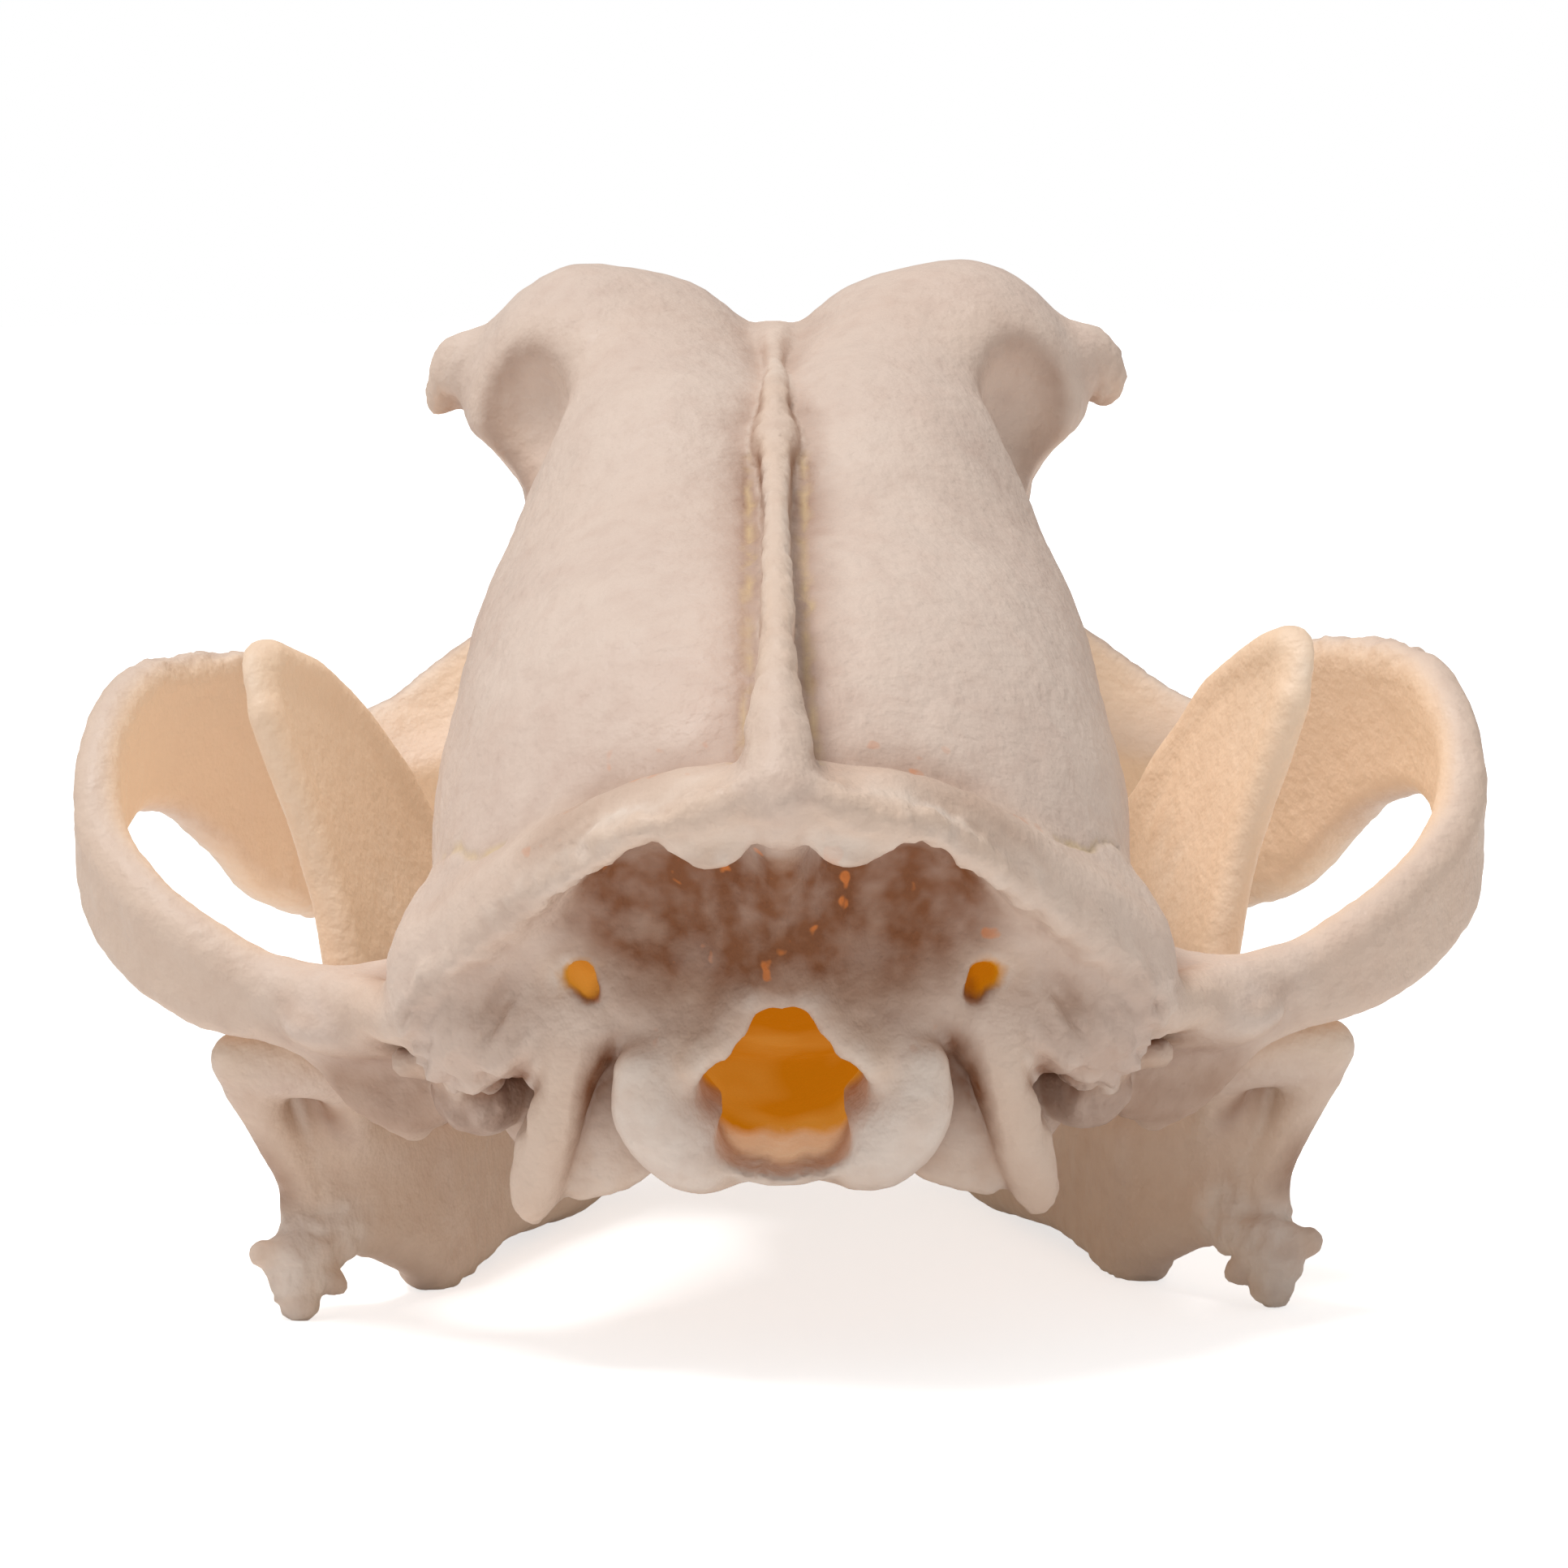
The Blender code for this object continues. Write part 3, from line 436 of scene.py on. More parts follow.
def add_skull_base(clay):
    clay.add(limb((4.9, 1.5, 4.2, 3.4), (8, -0.6, 5, 4), (11, -1.5, 8.6, 3.6), (11.9, -1.4, 12.2, 2.6)), 1.2)
    clay.add(limb((0, -1.2, 20.2, 1.7), (2.8, -1.8, 18.6, 1.6), (4.8, -2, 15.6, 1.8),
                  (7, -1.8, 13.2, 2.4)), 2)
    clay.add(egg((8.6, 0.6, 13), (4.6, 3.4, 3.6)), 2)
    clay.add(limb((15, 4.4, 18, 3.2), (17.6, 2.4, 13, 2.5), (19.6, 2.6, 7, 2.3), (21.3, 3.8, 1.5, 2.4),
                  (22, 4.8, -1.8, 2.1), (22.3, 5.5, -3.4, 1.3)), 2.5)
    clay.add(strap((11.5, 4.4, 8, 5, 1.4), (15.8, 5, 4.4, 6, 1.1), (20, 5.4, 1.4, 4.6, 1)), 2.5)
    clay.add(egg((18.5, 24, 2), (8.5, 12, 8)), 4)
    clay.add(egg((28, 10.5, 13), (4.6, 5.4, 7)), 3)
    clay.add(limb((30, 9.6, 15.6, 2.6), (25.5, 7, 12.6, 3.4), (21.5, 5.4, 13.4, 3.4),
                  (18.5, 4.6, 15.4, 3)), 5)
    clay.add(limb((27.4, 9, 9.6, 2.2), (26, 9.4, 7.4, 1.4)), 1.5)
    clay.add(egg((27, 14.8, 3.8), (4.2, 4, 3.8)), 2)
    clay.add(limb((28, 13.2, 6.4, 2.2), (31, 13.6, 7.2, 1.7), (33.6, 13.8, 7.1, 1.2)), 1.5)
    clay.add(strap((41.5, 23.4, 7.4, 3.2, 2), (38.4, 22.2, 5.6, 5, 2.2), (35, 21.2, 4.6, 7, 2.3),
                   (32, 20, 6, 7, 2.5)), 3)
    clay.add(limb((34.6, 21, 1, 2.6), (33.6, 21.2, -2, 1.6)), 2)
    clay.add(strap((9.5, 45, -3, 5, 1.2), (10, 52, -2, 8, 1.3), (11, 61, -1, 9, 1.6), (13, 72, 1, 9, 2.5)), 4)
    clay.add(limb((9.8, 47.5, -8, 1.5), (10.3, 44, -10.5, 1.1)), 1.5)


def add_snout(clay):
    tip = millimetres("snout_tip")
    clay.add(egg((0, 100, 12), (22, 33, 22)), 8)
    clay.add(egg((12, 106, 3), (17, 29, 15)), 6)
    clay.add(egg((0, 106, -2), (25, 36, 6)), 4)
    clay.add(strap((44, 88, 3, 10, 3), (37, 91.5, 6, 11, 4.5), (29, 94, 9, 12, 6), (20, 95, 12, 12, 6)), 4)
    clay.add(limb((29, 82, -4, 4.4), (31, 89, -5.8, 6), (29, 99, -6, 6), (25.5, 110, -6.5, 5.4),
                  (22.5, 120, -6.5, 5.2), (20.5, 128.5, -6, 5.6), (13, 135.5, -6.5, 5), (5, 138.5, -7, 4.2),
                  (0, tip - 4, -7, 4)), 5)
    clay.add(limb((17, 116, 11, 4.5), (19.3, 124, 2, 5.2), (20.5, 129, -6, 5.4)), 4)
    clay.add(limb((5, 97, 34, 5), (6, 108, 29.5, 4.5), (6.2, 118, 26, 3.6), (5.5, 124, 25, 2.6)), 5)


def cheek_band():
    """The wide band of the cheek arch, from the ear round to the face."""
    wide = millimetres("cheek_half_width")
    return strap((33, 22, 8.5, 5.5, 4), (41, 24, 7.8, 4, 3.2), (46.5, 25.7, 8.4, 4.1, 2.9),
                 (52.6, 28.6, 10, 5.1, 2.6), (58.4, 34.4, 11.8, 5.7, 2.4),
                 (wide - 2.9, 42.5, 14.8, 5.7, 2.3), (wide - 2.1, 51, 19.8, 5.8, 2.2),
                 (61.8, 60, 21.6, 6.9, 2.2), (57, 68, 19, 8.5, 2.3), (51.8, 75, 14.3, 10.9, 2.4),
                 (48.3, 80, 9.2, 12, 2.6), (44.6, 85, 5.4, 11.4, 3.2), (40.5, 89, 4.4, 10, 3.6),
                 (34, 92, 4, 9, 4.5))


def add_cheek_arch(clay):
    clay.add(cheek_band(), 4)
    clay.add(limb((50.2, 77.2, 22, 1.8), (47.8, 81, 18.4, 2), (44, 87, 14.4, 2.4), (36, 92, 17, 2.6),
                  (29, 93.5, 21, 3), (24, 93, 28, 4), (20, 91, 38, 5)), 4)
    clay.add(limb((33, 11, 12.5, 2.4), (38, 18.5, 10.8, 2.6), (45, 24.2, 10, 2.4)), 3)
    clay.add(egg((38, 20.5, 8.5), (7, 5, 3)), 3)


CHAMBER_CENTRE = (0, 31, 19.5)


def brain_chamber():
    return egg(CHAMBER_CENTRE, (22.5, 29, 16))


def chamber_passage():
    """The bowl between the opening at the back of the head and the brain chamber."""
    return egg((0, 11, 11), (8.5, 9, 7.5))


def carve_cranium(clay):
    clay.cut(egg((37, 84, 27), (16.5, 15, 18)), 4)
    clay.cut(egg((33, 76, 37), (9.5, 13, 9)), 5)
    clay.cut(egg((25.5, 70.5, 50.5), (5.5, 6.5, 7.5)), 5)
    foramen = ((0, 15.6, 3), (1.6, 13.4, 2.8), (4.4, 10.7, 2.9), (0, 11, 4), (3.2, 5.8, 2.6), (0, 5.4, 2.4))
    for shift, height, radius in foramen:
        clay.cut(limb((shift, -20, height, radius), (shift, 8, height + 1, radius)), 0.8)
    clay.cut(limb((0, -20, 0.6, 1.1), (0, 3, 0.8, 0.9)), 0.8)
    clay.cut(brain_chamber(), 3)
    clay.cut(chamber_passage(), 2)
    clay.cut(limb((0, 44, -3, 7.5), (0, 60, -1, 8), (0, 84, 1, 6.5)), 3)
    clay.cut(egg((0, 134, 13.5), (11, 21, 10.5), pitch=-18), 3)
    clay.cut(limb((31, 106, 5, 3.2), (27.5, 98, 5, 2.8), (25, 90, 6, 3)), 1.5)
    clay.cut(limb((3.5, 137, -16, 1.8), (3.5, 131, -4, 1.8)), 1)


# Lower jaw

JAW_JOINT = (45.0, 27.5, 1.7)


def jaw_condyle():
    x, y, z = JAW_JOINT
    return limb((x - 6.5, y + 0.8, z - 0.6, 2.8), (x, y, z, 3.4), (x + 4.8, y - 0.4, z + 0.4, 2.6))


def seat_jaw_joint(clay):
    low, high, distance = jaw_condyle()
    clay.cut((low, high, lambda x, y, z: distance(x, y, z) - 0.9), 0.8)


def jaw_middle(y, z):
    """How far out the jaw's plate lies. It flares towards the angle and leans out as it rises."""
    flare = np.minimum(0.044 * np.maximum(41 - y, 0) ** 2, 7.5)
    lean = 0.12 * (z + 25) + 0.28 * np.maximum(z - 5, 0)
    return 22.5 + 0.26 * (86.5 - y) + flare + lean


def jaw_angle():
    """The hooked corner at the back of the jaw."""
    return limb((42.5, 32, -17, 3), (45.4, 28, -19.2, 2.8), (45.2, 26.6, -22.4, 1.8))


def add_jaw_plate(clay):
    outline = [(77, -20), (70, -5), (63, 11), (57, 25), (51.5, 33.5), (45.5, 35), (41.5, 29), (40, 18),
               (37, 8), (30.5, 1), (29.5, -6), (30.5, -13), (29, -19), (33, -20.5), (38, -25), (42, -28.3),
               (60, -31), (76, -34)]

    def half(y, z):
        return 1.5 + 1.1 * np.clip((10 - z) / 30, 0, 1) + 0 * y

    clay.add(blade(outline, jaw_middle, half))
    clay.add(limb((47.2, 47.5, 34, 1.4), (41.9, 57, 26, 1.8), (34.2, 64.5, 8, 2.2), (31.2, 70.5, -9, 2.6)), 3)
    clay.add(limb((47.4, 42.8, 30, 1.4), (43, 40.3, 17, 1.6), (40.4, 36.5, 7, 2)), 2)
    clay.add(jaw_condyle(), 2.5)
    clay.add(limb((48.8, 28.2, -1, 2.6), (46.8, 29.6, -7, 2), (45.2, 31, -12, 2), (44.8, 31, -16, 2.4)), 3)
    clay.add(limb((40.5, 29, 0, 2.6), (40, 33.5, -8, 2), (37.5, 41, -14, 2)), 4)
    clay.add(jaw_angle(), 2)
    clay.add(limb((45.6, 28.2, -18, 2.2), (48.4, 27.4, -17.8, 1.4)), 1)
    clay.add(limb((44, 28.6, -20, 2), (42, 28, -20.9, 1.3)), 1)


def add_jaw_body(clay):
    chin = millimetres("chin_tip")
    clay.add(strap((34, 44, -20, 8.5, 3), (32.3, 54, -20.4, 9.8, 3.4), (29.6, 64, -22.4, 10, 4),
                   (26, 75, -25.9, 10, 4.5), (22.8, 86.5, -29.6, 10.6, 4.8), (20, 98, -30.6, 10.2, 4.8),
                   (17, 110, -30, 10, 4.7), (13.8, 122, -28.8, 8.9, 4.4), (11.8, 133, -26.6, 7.3, 4.6),
                   (10, 142, -23.2, 6.8, 5), (7.2, chin - 8, -18.8, 6.5, 5.4), (0, chin - 5, -16, 6, 5)), 4)
    clay.add(limb((6, 124, -29.5, 4.6), (4, 135, -27.5, 5), (0, 143, -24.5, 5.8), (0, 149, -19.5, 6)), 4)


def carve_jaw(clay):
    clay.cut(limb((32, 42, -8, 1.6), (36, 52, -16, 1.8)), 1)
    clay.cut(limb((24, 122, -25, 1.6), (14, 116, -27, 1.6)), 1)
    clay.cut(egg((45.5, 55, 1), (7.5, 13, 15), pitch=-20, yaw=14), 4)


# Teeth

def jaw_gum(y):
    """Height of the lower gum line, which rises to the chin and behind the last tooth."""
    return millimetres("lower_gum") + 0.02 * max(y - 130, 0) ** 2 + 0.02 * max(90 - y, 0) ** 2


def tooth(place, crown, height, lean=(0, 0), down=True):
    """A crown of half-length and half-width, with a point, set on the gum line and rooted in the bone."""
    x, y = place
    length, width = crown
    side = -1 if down else 1
    gum = millimetres("upper_gum") if down else jaw_gum(y)
    tip = (x + lean[0], y + lean[1])
    rows = ((x, y, gum - 6 * side, length * 0.7, width * 0.7), (x, y, gum + 0.5 * side, length, width),
            (x + 0.5 * lean[0], y + 0.5 * lean[1], gum + height * 0.55 * side, length * 0.62, width * 0.62),
            (*tip, gum + (height - 0.8) * side, 0.8, 0.7))
    return strap(*rows, up=(0, 1, 0))


UPPER_TEETH = (
    ((2.6, 139.3), (1.9, 1.9), 5, (0, 0.5)), ((7.2, 138.2), (2.1, 2.1), 5.5, (0.2, 0.5)),
    ((12.2, 135.8), (2.6, 2.4), 5, (0.8, 0.5)), ((21.6, 128), (4.8, 3.5), 18, (2.8, -3)),
    ((22.8, 118.6), (2.6, 2), 5, (0, 0)), ((24.4, 111.6), (3.8, 2.2), 6.5, (0, -0.3)),
    ((27, 103.6), (4.6, 2.6), 7.5, (0, -0.3)), ((30.2, 96.5), (4.8, 3.2), 10, (0.8, -1)),
    ((32, 90), (3.8, 2.8), 7, (0.6, 0)), ((32.4, 84.4), (3.6, 3.2), 5, (0.6, 0)),
    ((28.4, 80.4), (2.4, 3), 2.6, (0, 0)),
)

LOWER_TEETH = (
    ((2, 154), (1.8, 1.8), 4.6, (0, 1)), ((5.4, 152.8), (2, 2), 5, (0.2, 1)),
    ((8.8, 150.6), (2.2, 2.2), 5, (0.6, 0.8)), ((12.2, 146.4), (4.2, 3.3), 16, (2.4, 1.5)),
    ((13, 132.4), (1.8, 1.6), 2.6, (0, 0)), ((14.4, 127), (3, 2), 4.6, (0, 0)),
    ((16.2, 120), (4, 2.2), 6, (0, 0)), ((18.2, 110.6), (4.6, 2.5), 7, (0, 0)),
    ((20.8, 99.8), (4.4, 2.8), 8.5, (0, 0)), ((22, 93.6), (4.4, 3), 10, (0, 0)),
    ((23.4, 87.4), (3.2, 2.6), 5, (0, 0)), ((24.4, 81.6), (2.8, 2.2), 3, (0, 0)),
    ((25.4, 77), (1.6, 1.6), 1.6, (0, 0)),
)


# Pieces

def to_rest():
    """The move from the skull's own axes in millimetres to the resting pose in metres."""
    sizes = bpy.context.scene.skull_sizes
    return (Matrix.Translation((0, sizes.centre_shift, -sizes.floor_level))
            @ Matrix.Rotation(sizes.nose_up, 4, "X") @ Matrix.Scale(0.001, 4))


def new_piece(name, points, faces):
    """A new mesh object."""
    mesh = bpy.data.meshes.new(name)
    mesh.from_pydata(points.tolist(), [], faces)
    piece = bpy.data.objects.new(name, mesh)
    bpy.context.scene.collection.objects.link(piece)
    return piece


def corners(mesh):
    """The corner points of a mesh as rows."""
    points = np.empty(len(mesh.vertices) * 3, np.float32)
    mesh.vertices.foreach_get("co", points)
    return points.reshape(-1, 3).astype(float)


def drop_scraps(points, faces):
    """Only the largest surface of a mesh: loose scraps go."""
    ends = np.array([pair for face in faces for pair in zip(face, face[1:])])
    marks = np.arange(len(points))
    while True:
        low = np.minimum(marks[ends[:, 0]], marks[ends[:, 1]])
        after = marks.copy()
        np.minimum.at(after, ends[:, 0], low)
        np.minimum.at(after, ends[:, 1], low)
        after = after[after]
        if (after == marks).all():
            break
        marks = after
    names, counts = np.unique(marks, return_counts=True)
    kept = marks == names[counts.argmax()]
    renumbered = np.cumsum(kept) - 1
    return points[kept], [[int(renumbered[i]) for i in face] for face in faces if kept[face[0]]]


def thinned(piece, triangles):
    """Reduce a piece to the given number of triangles, where it has more."""
    total = sum(len(face.vertices) - 2 for face in piece.data.polygons)
    if total <= triangles:
        return
    step = piece.modifiers.new("Thin", "DECIMATE")
    step.ratio = triangles / total
    graph = bpy.context.evaluated_depsgraph_get()
    mesh = bpy.data.meshes.new_from_object(piece.evaluated_get(graph))
    piece.modifiers.remove(step)
    old = piece.data
    piece.data = mesh
    bpy.data.meshes.remove(old)


def mark(mesh, name, values):
    """Store a number from 0 to 1 at each corner, for the materials to read."""
    layer = mesh.attributes.new(name, "FLOAT", "POINT")
    layer.data.foreach_set("value", np.clip(values, 0, 1).astype(np.float32))


def mark_bone(mesh, clay, points, shaded, lightened):
    """Mark how hollow, sharp and thin the bone is, for painted shade, pale edges and painted warmth. Shaded
    corners count as hollow, lightened ones as edges and never hollow.
    """
    out = clay.outward_at(points, 1.2)
    near = clay.depth_at(points + out * 2.2) / 2.2
    far = clay.depth_at(points + out * 6) / 6
    # Painted shade, with some dust, falls where this is high: concave corners and the shaded ones, but not
    # the lightened ones.
    mark(mesh, "hollow", np.maximum(1.1 - 0.5 * near - 0.5 * far, shaded) * (1 - lightened))
    # Sharp crests and edges turn pale in the material from wear; the lightened corners join them as a painted
    # highlight.
    mark(mesh, "edge", np.maximum(1.05 + clay.depth_at(points - out * 1.6) / 1.6, lightened))
    # Thin bone gets painted warmth in the material.
    mark(mesh, "thin", 1 + clay.depth_at(points - out * 4) / 4)
    return out


def finish_piece(piece, nodes, material):
    """Put a piece in its resting place, smooth, level where it stands on the floor, with its material."""
    piece.data.transform(to_rest())
    for corner in piece.data.vertices:
        corner.co.z = max(corner.co.z, 0)
    piece.data.shade_smooth()
    piece.data.materials.clear()
    piece.data.materials.append(material)
    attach(piece, "root")
    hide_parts(*nodes)


# Materials

class Tree:
    """A node tree, with short calls to fill it."""

    def __init__(self, tree):
        self.tree = tree

    def node(self, kind, **values):
        """A new node. Values are sockets by name, or settings where no socket has that name."""
        made = self.tree.nodes.new(kind)
        for key, value in values.items():
            if hasattr(made, key):
                setattr(made, key, value)
            else:
                self.feed(made.inputs[key.replace("_", " ").title()], value)
        return made

    def feed(self, socket, value):
        """Set a socket, or link it where the value is a socket itself."""
        if isinstance(value, bpy.types.NodeSocket):
            self.tree.links.new(value, socket)
        else:
            socket.default_value = value

    def sum(self, operation, *values):
        made = self.tree.nodes.new("ShaderNodeMath")
        made.operation = operation
        for socket, value in zip(made.inputs, values):
            self.feed(socket, value)
        return made.outputs[0]

    def ramp(self, value, low, high):
        """Value read from 0 at low to 1 at high."""
        made = self.tree.nodes.new("ShaderNodeMapRange")
        for name, number in (("Value", value), ("From Min", low), ("From Max", high)):
            self.feed(made.inputs[name], number)
        return made.outputs[0]

    def mix(self, factor, first, second):
        """A colour mixed from two."""
        made = self.tree.nodes.new("ShaderNodeMix")
        made.data_type = "RGBA"
        self.feed(made.inputs[0], factor)
        self.feed(made.inputs[6], first if isinstance(first, bpy.types.NodeSocket) else (*first, 1))
        self.feed(made.inputs[7], second if isinstance(second, bpy.types.NodeSocket) else (*second, 1))
        return made.outputs[2]

    def noise(self, place, scale, detail=2.0):
        """A cloudy pattern. Scale is in lumps per metre."""
        return self.node("ShaderNodeTexNoise", Scale=scale, Detail=detail, Vector=place).outputs[0]

    def mark(self, name):
        """A mark stored at the corners of the mesh."""
        return self.node("ShaderNodeAttribute", attribute_name=name).outputs["Fac"]


def new_group(name, inputs, outputs):
    """An empty shader node group with named sockets."""
    group = bpy.data.node_groups.new(name, "ShaderNodeTree")
    for label, kind, default in inputs:
        socket = group.interface.new_socket(label, in_out="INPUT", socket_type=kind)
        if default is not None:
            socket.default_value = default
    for label, kind in outputs:
        group.interface.new_socket(label, in_out="OUTPUT", socket_type=kind)
    given = group.nodes.new("NodeGroupInput").outputs
    out = group.nodes.new("NodeGroupOutput").inputs
    return group, Tree(group), given, out


def bone_pores():
    """Fine grain of dry bone, and streaks where muscle held on."""
    group, tree, given, out = new_group("Bone pores", (
        ("Vector", "NodeSocketVector", None), ("Pore Scale", "NodeSocketFloat", 900.0),
        ("Roughened", "NodeSocketFloat", 0.0), ("Streak Scale", "NodeSocketFloat", 500.0),
    ), (("Height", "NodeSocketFloat"),))
    place = given["Vector"]
    bumps = tree.sum("MULTIPLY", tree.noise(place, given["Pore Scale"], 2), 0.4)
    stretched = tree.node("ShaderNodeMapping", Vector=place, Scale=(1.0, 1.0, 0.16)).outputs[0]
    streaks = tree.noise(stretched, given["Streak Scale"], 2)
    tree.feed(out["Height"], tree.sum("MULTIPLY_ADD", streaks, given["Roughened"], bumps))
    return group


def bone_cast():
    """Slow changes of colour over clean bone: a pink-brown blush in broad and fine patches."""
    group, tree, given, out = new_group("Bone cast", (
        ("Vector", "NodeSocketVector", None), ("Base", "NodeSocketColor", None),
        ("Blush", "NodeSocketColor", None), ("Amount", "NodeSocketFloat", 0.5),
        ("Patch Scale", "NodeSocketFloat", 60.0),
    ), (("Color", "NodeSocketColor"),))
    place = given["Vector"]
    slow = tree.ramp(tree.noise(place, given["Patch Scale"], 2), 0.42, 0.72)
    fine = tree.ramp(tree.noise(place, 420.0, 3), 0.45, 0.75)
    mixed = tree.sum("ADD", tree.sum("MULTIPLY", slow, 0.6), tree.sum("MULTIPLY", fine, 0.55))
    mixed = tree.sum("MULTIPLY", mixed, given["Amount"])
    tree.feed(out["Color"], tree.mix(mixed, given["Base"], given["Blush"]))
    return group


def placed_group(tree, name, make, **values):
    """A group set in a material, made the first time it is used."""
    made = tree.tree.nodes.new("ShaderNodeGroup")
    made.node_tree = bpy.data.node_groups.get(name) or make()
    for key, value in values.items():
        tree.feed(made.inputs[key.replace("_", " ")], value)
    return made


def new_material(name):
    """A material with a Principled shader, its tree and its object coordinates."""
    material = bpy.data.materials.new(name)
    material.use_nodes = True
    material.cycles.emission_sampling = "NONE"
    tree = Tree(material.node_tree)
    shader = material.node_tree.nodes["Principled BSDF"]
    place = tree.node("ShaderNodeTexCoord").outputs["Object"]
    return material, tree, shader, place


def bone_material(name, blush=0.5):
    """Dry bone: pale edges from wear with a painted highlight, painted warmth on thin walls, painted shade
    with some dust in the hollows, yellowish seams and a painted amber glow.
    """
    finish = bpy.context.scene.skull_finish
    material, tree, shader, place = new_material(name)
    cast = placed_group(tree, "Bone cast", bone_cast, Vector=place, Base=(*finish.bone, 1),
                        Blush=(*finish.blush, 1), Amount=blush)
    pores = placed_group(tree, "Bone pores", bone_pores, Vector=place, Roughened=tree.mark("rough"))
    broken = tree.noise(place, 300.0, 2)
    # Painted warmth: thin bone and the inner walls take the colour of light that passes through the bone and
    # bounces between walls.
    warm_light = tree.sum("MULTIPLY", tree.mark("thin"), 0.4)
    warm_light = tree.sum("MAXIMUM", warm_light, tree.mark("inner"))
    colour = tree.mix(warm_light, cast.outputs[0], finish.warm_light)
    # Painted shade, with some dust, in the hollows, broken up by noise and taken off the inner walls.
    shade_and_dust = tree.sum("MULTIPLY", tree.ramp(tree.mark("hollow"), 0.15, 0.95), tree.ramp(broken, -0.5, 0.6))
    shade_kept = tree.ramp(tree.mark("inner"), 0.9, 0.0)
    colour = tree.mix(tree.sum("MULTIPLY", shade_and_dust, shade_kept), colour, finish.shade)
    # Painted light through thin spots of the recess.
    lit = tree.sum("MULTIPLY", tree.ramp(broken, 0.66, 0.7), tree.mark("recess"))
    colour = tree.mix(tree.sum("MULTIPLY", lit, 0.8), colour, finish.spots)
    # Pale crests and edges from wear, with a painted highlight on the lightened corners.
    wear_and_highlight = tree.sum("MULTIPLY", tree.ramp(tree.mark("edge"), 0.3, 0.9), tree.ramp(broken, 0.2, 0.6))
    colour = tree.mix(tree.sum("MULTIPLY", wear_and_highlight, 0.75), colour, finish.pale)
    seam = tree.sum("MULTIPLY", tree.mark("seam"), tree.ramp(broken, 0.3, 0.6))
    colour = tree.mix(tree.sum("MULTIPLY", seam, 0.7), colour, finish.seam)
    # Painted glow: amber light through the thin brain chamber.
    glow = tree.mark("glow")
    amber = tree.mix(tree.ramp(tree.noise(place, 75.0, 2), 0.45, 0.7), finish.glow, finish.glow_pale)
    colour = tree.mix(glow, colour, amber)
    tree.feed(shader.inputs["Base Color"], colour)
    tree.feed(shader.inputs["Roughness"], tree.ramp(broken, -0.6, 1.4))
    # The painted glow and the light through the inner walls are given as emission.
    through = tree.mix(tree.mark("inner"), (0, 0, 0), finish.through)
    tree.feed(shader.inputs["Emission Color"], tree.mix(glow, through, amber))
    shader.inputs["Emission Strength"].default_value = finish.glow_strength
    shader.inputs["Specular IOR Level"].default_value = 0.3
    bump = tree.node("ShaderNodeBump", Height=pores.outputs["Height"], Strength=1.0, Distance=0.0006)
    tree.feed(shader.inputs["Normal"], bump.outputs[0])
    return material


def enamel_material(name):
    """Ivory enamel, browner and duller at the root, with fine cracks along the crown."""
    finish = bpy.context.scene.skull_finish
    material, tree, shader, place = new_material(name)
    cast = placed_group(tree, "Bone cast", bone_cast, Vector=place, Base=(*finish.enamel, 1),
                        Blush=(*finish.root, 1), Amount=0.3, Patch_Scale=200.0)
    stretched = tree.node("ShaderNodeMapping", Vector=place, Scale=(1.0, 1.0, 0.08)).outputs[0]
    from_middle = tree.sum("ABSOLUTE", tree.sum("SUBTRACT", tree.noise(stretched, 700.0, 2), 0.5))
    cracks = tree.ramp(from_middle, 0.02, 0.0)
    root = tree.sum("MULTIPLY", tree.mark("root"), tree.ramp(tree.noise(place, 400.0, 3), 0.1, 0.7))
    colour = tree.mix(root, cast.outputs[0], finish.root)
    colour = tree.mix(tree.sum("MULTIPLY", cracks, 0.25), colour, finish.root)
    tree.feed(shader.inputs["Base Color"], colour)
    tree.feed(shader.inputs["Roughness"], tree.sum("ADD", tree.sum("MULTIPLY", tree.mark("root"), 0.3), 0.25))
    bump = tree.node("ShaderNodeBump", Height=tree.noise(stretched, 900.0, 2), Strength=0.3, Distance=0.0001)
    tree.feed(shader.inputs["Normal"], bump.outputs[0])
    return material


# Operators

